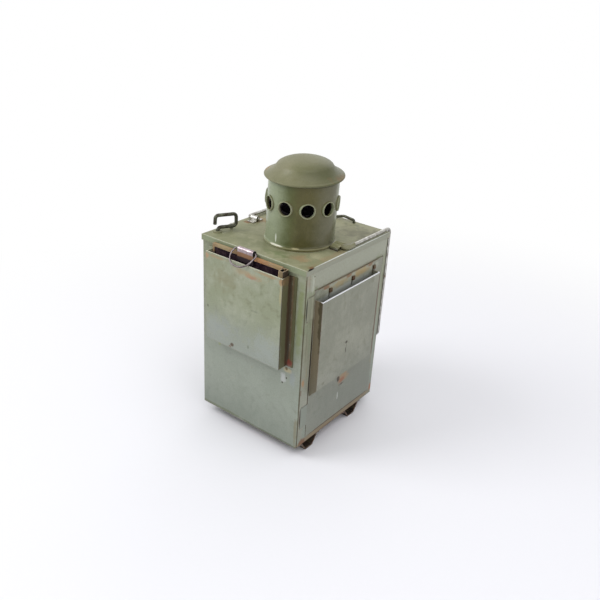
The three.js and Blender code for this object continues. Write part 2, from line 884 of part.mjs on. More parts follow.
// Sleeve over the right bend of the bail, beside its clip
function bailSleeve() {
  const run = (extra) => bent([
    new THREE.Vector3(sleeveLeft - extra, bailPivotY, bailZ),
    new THREE.Vector3(bailHalf, bailPivotY, bailZ),
    new THREE.Vector3(bailHalf, sleeveBack + extra, bailZ),
  ], [bailLegBend]);
  return cut(wire(run(0), sleeveRadius), wire(run(overrun), bailWire + gap));
}

// Saddle clip over the pivot leg, with a foot on each side
function bailClip() {
  const inner = bailWire + gap;
  const outer = inner + clipSheet;
  return alongX([
    [-outer - clipFoot, 0], [-outer - clipFoot, clipSheet], [-outer, clipSheet],
    ...arc(0, bailLift, outer, 180, 0, 2 * bendSteps), [outer, clipSheet],
    [outer + clipFoot, clipSheet], [outer + clipFoot, 0], [inner, 0],
    ...arc(0, bailLift, inner, 0, 180, 2 * bendSteps), [-inner, 0],
  ], -clipWidth / 2, clipWidth / 2);
}

piece(lantern, "bail", wire(bailRoute(), bailWire), bareSteel);
piece(lantern, "bail_sleeve", bailSleeve(), olive);
piece(fixed, "bail_clip_left", bailClip(), bareSteel, -clipMiddle, bailPivotY, caseHeight);
piece(fixed, "bail_clip_right", bailClip(), olive, clipMiddle, bailPivotY, caseHeight);

// Turn key: a wire loop above the roof whose end runs down inside as a spindle
function keyWireRoute() {
  const heading = THREE.MathUtils.degToRad(keyHeading);
  const place = (reach, z) => new THREE.Vector3(
    keyX + reach * Math.sin(heading), keyY + reach * Math.cos(heading), z,
  );
  const top = caseHeight + keyTopLift;
  const bar = caseHeight + keyBarLift;
  return bent([
    place(-keyEndSide, top - keyEndDrop), place(-keyEndSide, top), place(keyLength, top),
    place(keyLength, bar), place(0, bar), place(0, spindleFoot),
  ], [keyBend, keyBend, keyBend, keyBend]);
}

// Screen frame on the spindle; it lies along the left wall in front of the lens
const screenBox = [0, screenWidth, -screenThick / 2, screenThick / 2, screenFoot, screenTop];
const screenRims = [screenRim, screenRim, screenBite, screenGlass];
const spindleBore = keyWire + spindleFit;

function screenFrame() {
  const knuckle = rod(spindleBore + knuckleWall, screenFoot, screenTop, smallSides);
  const bore = rod(spindleBore, screenFoot - overrun, screenTop + overrun, smallSides);
  return cut(join(framed(gap / 2, ...screenBox, ...screenRims), knuckle), bore);
}

function screenBracket() {
  const seat = screenFoot - gap;
  const wall = front + sheet;
  const half = bracketWidth / 2;
  const angle = join(
    block(keyX - half + gap, keyX + half, wall, keyY + bracketReach, seat - sheet, seat),
    block(keyX - half + gap, keyX + half, wall, wall + sheet, seat - bracketDrop, seat),
  );
  return cut(angle, rod(keyWire + gap, seat - sheet - overrun, seat + overrun, smallSides)
    .translate(keyX, keyY, 0));
}

piece(key, "turn_key", wire(keyWireRoute(), keyWire), darkWire);
for (const [name, shape, finish] of [
  ["screen_frame", screenFrame(), tinned],
  ["screen_glass", pane(...screenBox, ...screenRims), redGlass],
]) {
  piece(key, name, shape, finish, keyX, keyY, 0).rotation.z = Math.PI / 2;
}
piece(fixed, "screen_bracket", screenBracket(), tinned);
piece(fixed, "key_washer", turned([
  [keyWire + gap, 0], [keyWasher, 0], [keyWasher, keyWasherThick], [keyWire + gap, keyWasherThick],
], smallSides), bareSteel, keyX, keyY, caseHeight);
piece(fixed, "key_stop", rod(keyStopRadius, 0, keyStopHeight, smallSides), bareSteel,
  keyStopX, keyStopY, caseHeight);

function backLoop() {
  const corner = (x, z) => new THREE.Vector3(x, loopY, caseHeight + z);
  const route = bent([
    corner(loopLeft, 0), corner(loopLeft, loopRise), corner(loopRight, loopRise), corner(loopRight, 0),
  ], [loopBend, loopBend]);
  return wire(route, loopWire);
}

piece(fixed, "back_loop", backLoop(), darkWire);

// Lens on the left wall, seated from inside; its profile is drawn with its height toward the outside
function facingLeft(mesh) {
  mesh.rotation.y = -Math.PI / 2;
}

const lensSeatX = left + sheet + lensEdge;
const domeEdge = lensHole - gap;
const lensArc = (domeEdge ** 2 + lensBulge ** 2) / (2 * lensBulge);
const lensTurn = THREE.MathUtils.radToDeg(Math.asin((lensArc - lensBulge) / lensArc));
facingLeft(piece(fixed, "lens", turned([
  [0, 0], [lensRadius, 0], [lensRadius, lensEdge],
  ...arc(0, lensEdge + lensBulge - lensArc, lensArc, lensTurn, 90, bendSteps).slice(0, -1),
  [0, lensEdge + lensBulge],
], innerSides), clearGlass, lensSeatX, chimneyY, lensHeight));
facingLeft(piece(fixed, "lens_bezel", turned([
  [lensHole, 0], [lensHole + bezelWidth, 0], [lensHole + bezelWidth, bezelStand / 2],
  [lensHole + bezelWidth / 2, bezelStand], [lensHole, bezelStand],
], innerSides), brass, left, chimneyY, lensHeight));
facingLeft(piece(fixed, "lens_retainer", turned([
  [lensHole, -retainerLip], [lensRadius + retainerWidth, -retainerLip],
  [lensRadius + retainerWidth, lensEdge], [lensRadius + gap, lensEdge], [lensRadius + gap, 0],
  [lensHole, 0],
], innerSides), tinned, lensSeatX, chimneyY, lensHeight));

// Holder for a slide in front of the lens: two lipped strips and a ledge
function lensHolder() {
  const half = lensGuideSpan / 2;
  const face = left - lensGuideDepth;
  const foot = lensHeight - lensGuideHeight / 2;
  const strip = (side) => alongZ([
    [left, side * (half + lensGuideFlange)], [left, side * half], [face, side * half],
    [face, side * (half - lensGuideLip)], [face - guideSheet, side * (half - lensGuideLip)],
    [face - guideSheet, side * (half + guideSheet)], [left - guideSheet, side * (half + guideSheet)],
    [left - guideSheet, side * (half + lensGuideFlange)],
  ], foot, foot + lensGuideHeight).translate(0, chimneyY, 0);
  const ledge = block(face - guideSheet, left, chimneyY - half - guideSheet, chimneyY + half + guideSheet,
    foot, foot + guideSheet);
  return join(strip(-1), ledge, strip(1));
}

piece(fixed, "lens_slide_holder", lensHolder(), olive);

// Tank and burner
function roundedBox(length, width, radius) {
  const x = length / 2 - radius;
  const y = width / 2 - radius;
  return [
    ...arc(x, y, radius, 0, 90, bendSteps), ...arc(-x, y, radius, 90, 180, bendSteps),
    ...arc(-x, -y, radius, 180, 270, bendSteps), ...arc(x, -y, radius, 270, 360, bendSteps),
  ];
}

function fuelTank() {
  const inset = 2 * sheet;
  return cut(
    alongZ(roundedBox(tankLength, tankWidth, tankCorner), tankFoot, tankTop),
    alongZ(roundedBox(tankLength - inset, tankWidth - inset, tankCorner - sheet),
      tankFoot + sheet, tankTop - sheet),
    rod(burnerBore, tankTop - sheet - overrun, tankTop + overrun, smallSides * 2),
    rod(fillerBore, tankTop - sheet - overrun, tankTop + overrun, smallSides)
      .translate(fillerX - chimneyX, fillerY - chimneyY, 0),
  );
}

function tankRail(side) {
  const wall = side * (tankWidth / 2 + gap);
  const outer = wall + side * sheet;
  return alongX([
    [wall, tankFoot], [wall, tankFoot + railHeight], [outer, tankFoot + railHeight],
    [outer, tankFoot + sheet], [wall + side * railFoot, tankFoot + sheet], [wall + side * railFoot, tankFoot],
  ], -railLength / 2, railLength / 2);
}

// Burner: a turned body pierced by the wick's channel and by the bore of the wick wheel
const wheelX = wickThick / 2 + gap + wheelRadius;
const galleryTop = burnerFoot + burnerFlare + burnerStep;

function burnerBody() {
  const plug = burnerBore - gap;
  const body = turned([
    [0, tankTop - sheet], [plug, tankTop - sheet], [plug, burnerFoot], [burnerBase, burnerFoot],
    [burnerBase, burnerFoot + burnerStep], [burnerWaist, burnerFoot + 2 * burnerStep],
    [burnerWaist, galleryTop - 2 * burnerStep], [burnerGallery, galleryTop - burnerStep],
    [burnerGallery, galleryTop], [burnerNeck, galleryTop], [burnerNeck, burnerTop], [0, burnerTop],
  ], innerSides);
  const halfThick = wickThick / 2 + wickGap;
  const halfWidth = wickWidth / 2 + wickGap;
  const channel = block(-halfThick, halfThick, -halfWidth, halfWidth, tankFoot, burnerTop + overrun);
  const around = (radius, from, to) => rod(radius, -to, -from, smallSides).rotateX(Math.PI / 2)
    .translate(wheelX, 0, wheelHeight);
  return cut(
    body,
    channel,
    around(wheelRadius + gap, -wheelLength / 2 - gap, wheelLength / 2 + gap),
    around(wheelSpindle + gap, 0, burnerGallery + overrun),
  );
}

function starred(outer, inner, teeth) {
  const points = [];
  for (let i = 0; i < 2 * teeth; i += 1) {
    const angle = (Math.PI * i) / teeth;
    const radius = i % 2 === 0 ? outer : inner;
    points.push([radius * Math.cos(angle), radius * Math.sin(angle)]);
  }
  return points;
}

function wickSpindle() {
  const wheel = alongY(starred(wheelRadius, wheelRadius - toothDepth, wheelTeeth),
    -wheelLength / 2, wheelLength / 2);
  return join(wheel, alongY(arc(0, 0, wheelSpindle, 0, 360, wireSides).slice(1), 0, knobReach));
}

function burnerCap() {
  const inner = burnerCapRadius - burnerCapSheet;
  const height = burnerCapRise - burnerCapSheet;
  const quarter = arc(0, 0, 1, 0, 90, bendSteps);
  const dome = turned([
    ...quarter.map(([u, v]) => [u * burnerCapRadius, v * burnerCapRise]).slice(0, -1), [0, burnerCapRise],
    [0, height], ...quarter.map(([u, v]) => [u * inner, v * height]).slice(0, -1).reverse(),
  ], innerSides);
  const slot = block(-flameSlotWidth / 2, flameSlotWidth / 2, -flameSlotLength / 2, flameSlotLength / 2,
    height / 2, burnerCapRise + overrun);
  return cut(dome, slot);
}

function reflectorDish() {
  const steps = Array.from({ length: bendSteps + 1 }, (_, i) => i / bendSteps);
  const run = reflectorRadius - reflectorSeat;
  const curve = (lift) => steps.map((t) => [reflectorSeat + run * t, reflectorDepth * t * t + lift]);
  return turned([[0, 0], ...curve(0), ...curve(reflectorSheet).reverse(), [0, reflectorSheet]], innerSides);
}

const burnerAxis = [chimneyX, chimneyY, 0];
piece(burner, "fuel_tank", fuelTank(), tinned, ...burnerAxis);
piece(burner, "tank_rail_front", tankRail(-1), tinned, ...burnerAxis);
piece(burner, "tank_rail_back", tankRail(1), tinned, ...burnerAxis);
piece(burner, "burner_collar", turned([
  [burnerBore, tankTop], [collarRadius, tankTop], [collarRadius, burnerFoot], [burnerBore, burnerFoot],
], innerSides), brass, ...burnerAxis);
piece(burner, "burner_body", burnerBody(), brass, ...burnerAxis);
piece(burner, "burner_cap", burnerCap(), brass, chimneyX, chimneyY, galleryTop);
piece(burner, "wick", block(-wickThick / 2, wickThick / 2, -wickWidth / 2, wickWidth / 2,
  wickFoot, wickTop), cotton, ...burnerAxis);
piece(burner, "wick_spindle", wickSpindle(), brass, chimneyX + wheelX, chimneyY, wheelHeight);
piece(burner, "wick_knob", alongY(starred(knobRadius, knobRadius - gripDepth, knobGrips), 0, knobThick),
  brass, chimneyX + wheelX, chimneyY + knobReach, wheelHeight);
piece(burner, "filler_cap", turned([
  [0, -fillerPlug], [fillerBore - gap, -fillerPlug], [fillerBore - gap, gap], [fillerCapRadius, gap],
  [fillerCapRadius, fillerCapHeight], [0, fillerCapHeight],
], smallSides), brass, fillerX, fillerY, tankTop);
facingLeft(piece(burner, "reflector", reflectorDish(), tinned, reflectorX, chimneyY, lensHeight));
piece(burner, "reflector_stay", alongY([
  [reflectorX, lensHeight + reflectorSeat], [reflectorX + sheet, lensHeight + reflectorSeat],
  [reflectorX + sheet, tankTop], [reflectorX - stayWidth, tankTop],
  [reflectorX - stayWidth, tankTop + sheet], [reflectorX, tankTop + sheet],
], -stayWidth / 2, stayWidth / 2), tinned, 0, chimneyY, 0);

// The origin is the middle of the footprint of the whole lantern
const bounds = new THREE.Box3().setFromObject(lantern);
const middle = bounds.getCenter(new THREE.Vector3());
lantern.position.set(-middle.x, -middle.y, -bounds.min.z);

export default lantern;
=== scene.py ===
# %% [markdown]
# # A sheet-steel signal lantern
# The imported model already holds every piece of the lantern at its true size. This lesson dresses
# it: round pieces are made again as smooth surfaces, and each piece gets paint, rust or bare metal.
# Loading the model comes first, because everything else is placed from it.

import math

import bmesh
import bpy
import numpy as np
from mathutils import Matrix, Vector


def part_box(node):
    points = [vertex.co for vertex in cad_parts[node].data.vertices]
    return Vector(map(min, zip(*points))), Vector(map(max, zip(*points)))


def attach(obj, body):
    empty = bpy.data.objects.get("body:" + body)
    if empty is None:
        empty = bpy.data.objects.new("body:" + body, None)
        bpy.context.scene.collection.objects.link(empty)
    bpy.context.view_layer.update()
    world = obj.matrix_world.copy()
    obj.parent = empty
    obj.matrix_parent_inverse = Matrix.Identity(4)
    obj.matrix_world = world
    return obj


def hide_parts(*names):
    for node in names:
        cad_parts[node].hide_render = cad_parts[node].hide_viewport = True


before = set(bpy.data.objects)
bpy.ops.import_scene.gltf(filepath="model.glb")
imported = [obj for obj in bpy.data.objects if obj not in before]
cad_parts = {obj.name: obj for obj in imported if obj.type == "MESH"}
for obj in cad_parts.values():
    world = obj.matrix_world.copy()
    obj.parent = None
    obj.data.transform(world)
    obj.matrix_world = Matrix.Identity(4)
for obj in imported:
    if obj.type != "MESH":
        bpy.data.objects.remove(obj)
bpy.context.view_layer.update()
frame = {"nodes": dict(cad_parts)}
nodes = frame["nodes"]

# %% [markdown]
# The case was drawn in millimetres, so this script counts the same way: x toward the door, y toward
# the back, z up, from the foot and middle of the case. One function turns such a place into metres
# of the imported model. Metres everywhere would be harder to set against a ruler. The chimney leans
# to the right, as the camera sees it, by a fiftieth of its height.

# %% Places in millimetres from the foot of the case
MM = 0.001
shell_low = np.array(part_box("body_shell")[0])
half_width, half_depth, roof_top = 65.0, 71.0, 200.0
case_foot = shell_low + np.array([half_width, half_depth, 0]) * MM


def place(points):
    """Metres in the model = millimetres from the case's foot / 1000 + the foot's own place."""
    return np.asarray(points, float) * MM + case_foot


def put(name, data):
    """Adds an object with this data to the scene."""
    made = bpy.data.objects.new(name, data)
    bpy.context.scene.collection.objects.link(made)
    return made


view_right, view_front = (0.806, 0.592), (0.592, -0.806)
chimney_middle = (12.0, -13.0, 0.0)
chimney_lean = 0.02 * np.array(view_right)
print("case foot stands at", np.round(case_foot * 1000, 3), "mm")

# %% [markdown]
# ## Camera
# The camera stands in front of the corner between the pocket and the door and looks down on the
# roof. Its place, angles and lens were worked out once from the straight edges of the case, and a
# small roll leans the case as a hand-held camera shows it. It could also be aimed with a
# constraint, but fixed numbers stay put.

# %% Camera
camera_eye = (0.39722, -0.52485, 0.46044)
azimuth = math.radians(36.313)
elevation = math.radians(26.1226)
camera_roll = math.radians(3.4667)
camera_lens = 41.294

back = Vector((
    math.sin(azimuth) * math.cos(elevation),
    -math.cos(azimuth) * math.cos(elevation),
    math.sin(elevation),
))
camera = put("camera", bpy.data.cameras.new("camera"))
camera.data.sensor_width = 36
camera.data.lens = camera_lens
camera.rotation_mode = "QUATERNION"
level = (-back).to_track_quat("-Z", "Y").to_matrix()
camera.rotation_quaternion = (level @ Matrix.Rotation(camera_roll, 3, "Z")).to_quaternion()
camera.location = camera_eye
camera.data.clip_start = 0.01
camera.data.clip_end = 20
bpy.context.scene.camera = camera
print("camera lens", camera_lens, "mm, roll", round(math.degrees(camera_roll), 2), "degrees")

# %% [markdown]
# ## Shader sums
# Worn paint is many small patterns added and multiplied. Wiring each Math node by hand hides the
# idea, so a small class stands for one socket and lets a sum be written as a line of Python. The
# Nodes class adds any other node from its type, settings and values, and Finish is one material.


# %% A socket that can be used in sums
class Signal:
    """One output socket. Writing 1 - mask or mask * 0.5 adds the Math node that works it out."""

    def __init__(self, nodes, socket):
        self.nodes = nodes
        self.socket = socket

    def maths(self, operation, first, second):
        return self.nodes.node("Math", {"operation": operation}, {0: first, 1: second})

    def __add__(self, other):
        return self.maths("ADD", self, other)

    def __sub__(self, other):
        return self.maths("SUBTRACT", self, other)

    def __rsub__(self, other):
        return self.maths("SUBTRACT", other, self)

    def __mul__(self, other):
        return self.maths("MULTIPLY", self, other)

    __radd__ = __add__
    __rmul__ = __mul__

    def most(self, other):
        """The larger of the two."""
        return self.maths("MAXIMUM", self, other)

    def rising(self, start, end):
        """0 below start and 1 above end, with a smooth step between."""
        return self.nodes.node(
            "MapRange", {"interpolation_type": "SMOOTHSTEP"},
            {"Value": self, "From Min": start, "From Max": end})

    def falling(self, start, end):
        """1 below start and 0 above end."""
        return 1 - self.rising(start, end)


class Nodes:
    """A node tree, and the methods that add nodes to it."""

    def __init__(self, tree):
        self.tree = tree

    def node(self, kind, settings=None, values=None, out=0):
        made = self.tree.nodes.new("ShaderNode" + kind)
        for name, value in (settings or {}).items():
            setattr(made, name, value)
        for key, value in (values or {}).items():
            if isinstance(value, Signal):
                self.link(value, made.inputs[key])
            else:
                made.inputs[key].default_value = value
        return Signal(self, made.outputs[out])

    def link(self, signal, into):
        self.tree.links.new(signal.socket, into)

    def vector(self, operation, first, second, out="Vector"):
        return self.node("VectorMath", {"operation": operation}, {0: first, 1: second}, out)

    def mix(self, factor, under, over):
        """One colour over another. Each is a socket or screen values from 0 to 255."""
        under, over = (tint if isinstance(tint, Signal) else srgb(*tint) for tint in (under, over))
        return self.node("Mix", {"data_type": "RGBA"}, {0: factor, 6: under, 7: over}, 2)

    def seen_rays(self):
        """1 on rays from the camera and on rays that mirror or pass glass, otherwise 0."""
        kinds = ("Is Camera Ray", "Is Glossy Ray", "Is Transmission Ray")
        camera_ray, mirror_ray, glass_ray = (self.node("LightPath", out=k) for k in kinds)
        return camera_ray.most(mirror_ray).most(glass_ray)


finishes = {}


def dress(piece, finish):
    """Gives every material slot of a piece one finish."""
    piece.data.materials.clear()
    piece.data.materials.append(finishes[finish])


class Finish(Nodes):
    """A material that some pieces wear, with the patterns that it is made of."""

    def __init__(self, name, pieces=""):
        self.material = finishes[name] = bpy.data.materials.new(name)
        for piece in pieces.split():
            dress(nodes[piece], name)
        self.material.use_nodes = True
        super().__init__(self.material.node_tree)
        self.tree.nodes.clear()
        self.at = self.node("TexCoord", out="Object")

    def noise(self, size, detail=3.0, stretch=None, distortion=0.0, roughness=0.55):
        """Cloudy noise with lumps of about size millimetres, drawn out by stretch."""
        at = self.at if stretch is None else self.vector("DIVIDE", self.at, stretch)
        return self.node("TexNoise", None, {
            "Vector": at, "Scale": 1000 / size, "Detail": detail, "Roughness": roughness,
            "Distortion": distortion})

    def cells(self, size):
        """Distance to scattered points, about size millimetres apart."""
        return self.node("TexVoronoi", None, {"Vector": self.at, "Scale": 1000 / size})

    def spot(self, *where):
        """Where is x, y, z and the reach along each, in millimetres: 0 there, 1 at the reach."""
        off = self.vector("SUBTRACT", self.at, tuple(place(where[:3])))
        scaled = self.vector("DIVIDE", off, tuple(np.array(where[3:]) * MM))
        return self.vector("LENGTH", scaled, (0, 0, 0), "Value")

    def edge(self, width):
        """0 on a flat, about 1 on a square fold: 3.4 (1 - cos a), with a how far a rounded-off
        normal turns from the true one, 45 degrees on the fold."""
        rounded = self.node("Bevel", {"samples": 6}, {"Radius": width * MM})
        true = self.node("NewGeometry", out="Normal")
        return (1 - self.vector("DOT_PRODUCT", rounded, true, "Value")) * 3.4

    def turned_to(self, direction):
        """1 on a face that looks along the direction, 0 on one square to it, -1 on its back."""
        looks = self.node("TexCoord", out="Normal")
        return self.vector("DOT_PRODUCT", looks, direction, "Value")

    def show(self, shader):
        self.link(shader, self.tree.nodes.new("ShaderNodeOutputMaterial").inputs["Surface"])

    def lay(self, mask, tint):
        """Lays a colour over the finish's own where the mask is 1."""
        self.colour = self.mix(mask, self.colour, tint)

    def finish(self, roughness, metallic, height, lift, **constants):
        """The shader at the end, with height * lift millimetres as bump."""
        self.show(self.node("BsdfPrincipled", None, {
            "Base Color": self.colour, "Roughness": roughness, "Metallic": metallic,
            "Normal": self.node("Bump", None, {"Height": height, "Distance": lift * MM}),
            **constants}))


def srgb(red, green, blue):
    """Screen values 0 to 255 as the linear colour that a shader takes."""
    share = np.array([red, green, blue]) / 255
    linear = np.where(share <= 0.04045, share / 12.92, ((share + 0.055) / 1.055) ** 2.4)
    return (*linear.tolist(), 1.0)


# %% [markdown]
# ## Light
# The lantern stands on white paper in a bright room. A large soft lamp high on the left lights it,
# and the long highlights on the chimney are partly its reflection and partly painted into the
# chimney's paint. Three weaker lamps fill in from above, from the right and from behind, and the
# world gives the rest. Rays that the camera sees, also by a mirror or glass, meet a white world,
# so that bare metal shows a white room without more light on the paint.

# %% World and lamps
room_light, room_white = 0.6, 1.0
world = bpy.data.worlds.new("white_room")
world.use_nodes = True
bpy.context.scene.world = world
room = Nodes(world.node_tree)
background = world.node_tree.nodes["Background"]
background.inputs["Color"].default_value = (1, 1, 1, 1)
strength = room.node("MapRange", None, {
    "Value": room.seen_rays(), "To Min": room_light, "To Max": room_white})
room.link(strength, background.inputs["Strength"])
bpy.context.scene.view_settings.view_transform = "Standard"
lantern_middle = (0, 0, 0.12)


def lamp(name, place_at, size, power):
    """A square area lamp that faces the middle of the lantern."""
    made = put(name, bpy.data.lights.new(name, "AREA"))
    made.data.shape = "SQUARE"
    made.data.size = size
    made.data.energy = power
    made.location = place_at
    made.rotation_mode = "QUATERNION"
    made.rotation_quaternion = (Vector(lantern_middle) - made.location).to_track_quat("-Z", "Y")


lamp("window", (-1.0, -1.0, 1.4), 0.9, 15)
lamp("ceiling", (0.5, -0.2, 1.9), 1.3, 9)
lamp("fill", (1.5, -0.6, 0.8), 1.0, 5)
lamp("behind", (-0.5, 1.6, 1.0), 1.2, 3)

# %% Colours that many finishes share
rust = (106, 70, 46)
rust_pale = (150, 116, 80)
rust_dark = (50, 36, 27)
steel = (168, 166, 160)
# Painted shade: near black, laid into gaps, slots and holes where shade falls.
painted_gap_shade = (20, 18, 18)

# %% [markdown]
# ## Worn paint
# The case is thin steel under one coat of brushed paint. With use the paint fades in clouds, dirt
# runs down in streaks, rust comes through in specks, and it chips off the folds, where a brown
# border surrounds bright metal. Each is a mask from noise, the fold or a place, laid over the last.
# A painted image could do the same, but masks stay sharp and follow every corner.


# %% One recipe for every painted piece
def worn_paint(name, pieces, paint, faded, wear=1.0, specks=0.5, grime=0.35, gloss=0.42,
        streaks=0.35, coat=0.1, shine=0.35, swell=1.6, marks=(), layers=()):
    """Wear is for folds and specks for flats, gloss is the roughness of sound paint, and swell is
    how far the sheet waves. Layers go under the rust, and marks over everything."""
    f = Finish(name, pieces)
    cloud = f.noise(46, 3)
    mottle = f.noise(8, 5, distortion=0.4)
    grain = f.noise(1.3, 4)
    streak = f.noise(3.2, 3, stretch=(1, 1, 16))
    scratch = f.noise(1.1, 2, stretch=(1, 1, 30), distortion=0.2)
    uneven, gritty = mottle - 0.5, grain - 0.5
    f.colour = f.mix((cloud + uneven * 0.5).rising(0.36, 0.66), paint, faded)
    f.lay(streak.rising(0.52, 0.72) * 0.22 * streaks, (176, 178, 160))
    f.lay(streak.falling(0.3, 0.44) * 0.5 * grime * streaks, (92, 90, 66))
    f.lay(mottle.falling(0.28, 0.46) * grime, (104, 100, 70))
    for layer, tint in layers:
        f.lay(layer(f, uneven), tint)
    f.lay(grain.rising(0.35, 0.75) * 0.14, (58, 58, 44))
    pale_scratch = scratch.rising(0.68, 0.72) * cloud.rising(0.45, 0.6)
    f.lay(pale_scratch * 0.4 * streaks, (190, 190, 176))
    pits = (f.cells(5.2) - gritty * 0.25).falling(0.05, 0.13) * mottle.rising(0.54, 0.66)
    f.lay(pits * specks, rust)
    fold = f.edge(1.1) * wear + uneven * 1.3 + gritty * 0.5
    bare = fold.rising(0.62, 0.8)
    f.lay(fold.rising(0.24, 0.5) * 0.6, rust_pale)
    f.lay(fold.rising(0.46, 0.64) * 0.9, rust)
    f.lay(bare, steel)
    rough = gloss + uneven * 0.22 + gritty * 0.12 + pits * 0.3
    hurt = (pits * specks).most(fold.rising(0.46, 0.64))
    for *where, tint, amount, soft in marks:
        broken = f.spot(*where) + uneven * 2.2 * soft + gritty * 1.2 * soft
        mask = broken.falling(0.9 - 0.75 * soft, 1.0) * amount
        f.lay(mask, tint)
        hurt = hurt.most(mask * 0.9)
    rough = rough + hurt * 0.18
    height = f.noise(34, 1) * swell + mottle * 0.16 + grain * 0.1 - hurt * 0.22
    f.finish(rough, bare * 0.9, height, 0.35, **{
        "Coat Weight": (1 - hurt) * coat, "Coat Roughness": 0.12, "Specular IOR Level": shine})


def height_of(f):
    """Millimetres above the case's foot."""
    return f.node("SeparateXYZ", None, {0: f.at}, "Z") * 1000 - float(case_foot[2]) * 1000


def by_height(low, high, most, blur=30):
    """A layer that is strongest at the low height, in millimetres, and gone at the high one."""
    return lambda f, uneven: (height_of(f) + uneven * blur).falling(low, high) * most


def by_facing(direction, centre, reach, most):
    """A layer on the faces that look one way, near a place."""
    def layer(f, uneven):
        near = (f.spot(*centre, *reach) + uneven * 0.8).falling(0.8, 1.0)
        return f.turned_to(direction).rising(0.6, 0.85) * near * most
    return layer


def painted_light_by_side(direction, start, end, most):
    """Painted light and shade: a layer that grows on round pieces as their surface turns to one
    side.
    """
    return lambda f, uneven: (f.turned_to(direction) + uneven * 0.25).rising(start, end) * most


def off_axis(f):
    """Millimetres from the chimney's axis: |(x, y) - lean * height over the roof|."""
    off = f.vector("SUBTRACT", f.at, tuple(place(chimney_middle) + (0, 0, roof_top * MM)))
    ways = [(1000, 0, -1000 * chimney_lean[0]), (0, 1000, -1000 * chimney_lean[1])]
    flat = {k: f.vector("DOT_PRODUCT", off, way, "Value") for k, way in enumerate(ways)}
    return f.vector("LENGTH", f.node("CombineXYZ", None, flat), (0, 0, 0), "Value")


def by_reach(inner, outer, low, high, most):
    """A layer past a distance from the chimney's axis, between two heights, in millimetres. With
    the larger distance first it lies inside."""
    def layer(f, uneven):
        height = height_of(f)
        band = height.rising(low - 1, low) * height.falling(high, high + 1)
        return off_axis(f).rising(inner, outer) * band * most
    return layer


# %% [markdown]
# ## Bare and rusting metal
# The bail, the ring and the pins were never painted. Steel that is handled stays bright on top
# and goes brown where nobody touches it, so brown noise lies over grey metal and roughens it.
# Tinned sheet inside the case is paler and dulled by soot, and brass goes brown in its hollows.


# %% Metals
def bare_metal(name, pieces, bright, stained, stain, amount, gloss=0.3, lump=6.0, marks=()):
    f = Finish(name, pieces)
    mottle = f.noise(lump, 5, distortion=0.5)
    grain = f.noise(0.9, 4)
    drawn = f.noise(0.8, 2, stretch=(6, 6, 1))
    f.colour = f.mix(mottle.rising(0.3, 0.7), bright, stained)
    f.lay(drawn.rising(0.4, 0.75) * 0.25, (70, 66, 60))
    dull = (mottle + (grain - 0.5) * 0.6).rising(0.62 - amount * 0.5, 0.8 - amount * 0.35)
    f.lay(dull * 0.9, stain)
    bright_edge = f.edge(0.6).rising(0.25, 0.8)
    f.lay(bright_edge * 0.4 * (1 - dull * 0.6), bright)
    for *where, tint, most in marks:
        mask = (f.spot(*where) + (grain - 0.5) * 0.3).falling(0.85, 1.0) * most
        f.lay(mask, tint)
        dull = dull.most(mask)
    rough = gloss + dull * 0.38 + (grain - 0.5) * 0.15 + (mottle - 0.5) * 0.12
    height = grain * 0.12 + mottle * 0.25 + dull * 0.1
    f.finish(rough, 1 - dull * 0.75, height, 0.2)


# %% [markdown]
# ## Glass and cotton
# The slide's glass is so dark that it looks black, the screen is red glass and the lens is clear.
# Dust dulls each of them in clouds. The wick is plaited cotton, black at the burnt end.


# %% Glass and wick
def dusty_glass(name, pieces, tint, see_through, dust_colour, dust=0.35):
    f = Finish(name, pieces)
    film = f.noise(9, 6, distortion=0.3, roughness=0.7)
    grain = f.noise(0.7, 3)
    dusty = (film + (grain - 0.5) * 0.4).rising(0.42, 0.8) * dust
    f.colour = f.mix(dusty, tint, dust_colour)
    height = film * 0.5 + grain * 0.05
    f.finish(0.08 + dusty * 0.6, 0.0, height, 0.1, **{
        "Transmission Weight": see_through, "IOR": 1.5, "Coat Weight": 0.4, "Coat Roughness": 0.05})


def plaited_cotton(name, pieces, burnt_from=80.0):
    """Burnt from is the height in millimetres where the wick turns black."""
    f = Finish(name, pieces)
    strand = f.node("TexWave", {"wave_type": "BANDS", "bands_direction": "DIAGONAL"}, {
        "Vector": f.at, "Scale": 420.0, "Distortion": 1.5, "Detail": 2.0}, 1)
    grain = f.noise(0.8, 4)
    above_burner = height_of(f) - burnt_from
    f.colour = f.mix(strand * 0.5 + grain * 0.3, (172, 160, 132), (214, 206, 184))
    f.lay((above_burner + (grain - 0.5) * 3).rising(-3, 1.5), (18, 16, 15))
    f.finish(0.95 - strand * 0.1, 0.0, strand + grain * 0.5, 0.3)


# %% [markdown]
# ## Which piece gets which finish
# Marks are places where the real lantern is rusty, scraped or bare, and also painted highlights,
# painted shade in gaps, slots and hollows, and painted shadows. A row holds x, y and z, the reach
# along each in millimetres, a colour in screen values 0 to 255, how strongly it covers, and on
# paint how ragged its rim is. Layers are wider changes of tone; several are painted light and
# shade, as on the sides of round pieces, and some are the white floor's painted reflection low
# down.

# %% Marks and layers
left_side = (-view_right[0], -view_right[1], 0)
right_side = (*view_right, 0)
toward_door, toward_left = (1, 0, 0), (-1, 0, 0)
toward_back, toward_front, downward = (0, 1, 0), (0, -1, 0), (0, 0, -1)
olive = (132, 138, 113)
olive_faded = (147, 152, 130)
# Painted reflection: the white floor mirrored as blue grey low on the case.
floor_reflection_grey = (143, 151, 145)
# Dirty olive brown, deepened as painted shade, for the pocket's side wall.
dirt_and_shade_olive = (82, 80, 54)
tan = (158, 128, 92)
tan_pale = (160, 146, 110)
# A bare cut edge with a painted highlight on it.
bare_edge_highlight = (236, 238, 244)
brown_line = (104, 82, 60)
# Painted shade: near black for folds, gaps, slots and the inside of pockets.
painted_seam_shade = (38, 32, 26)

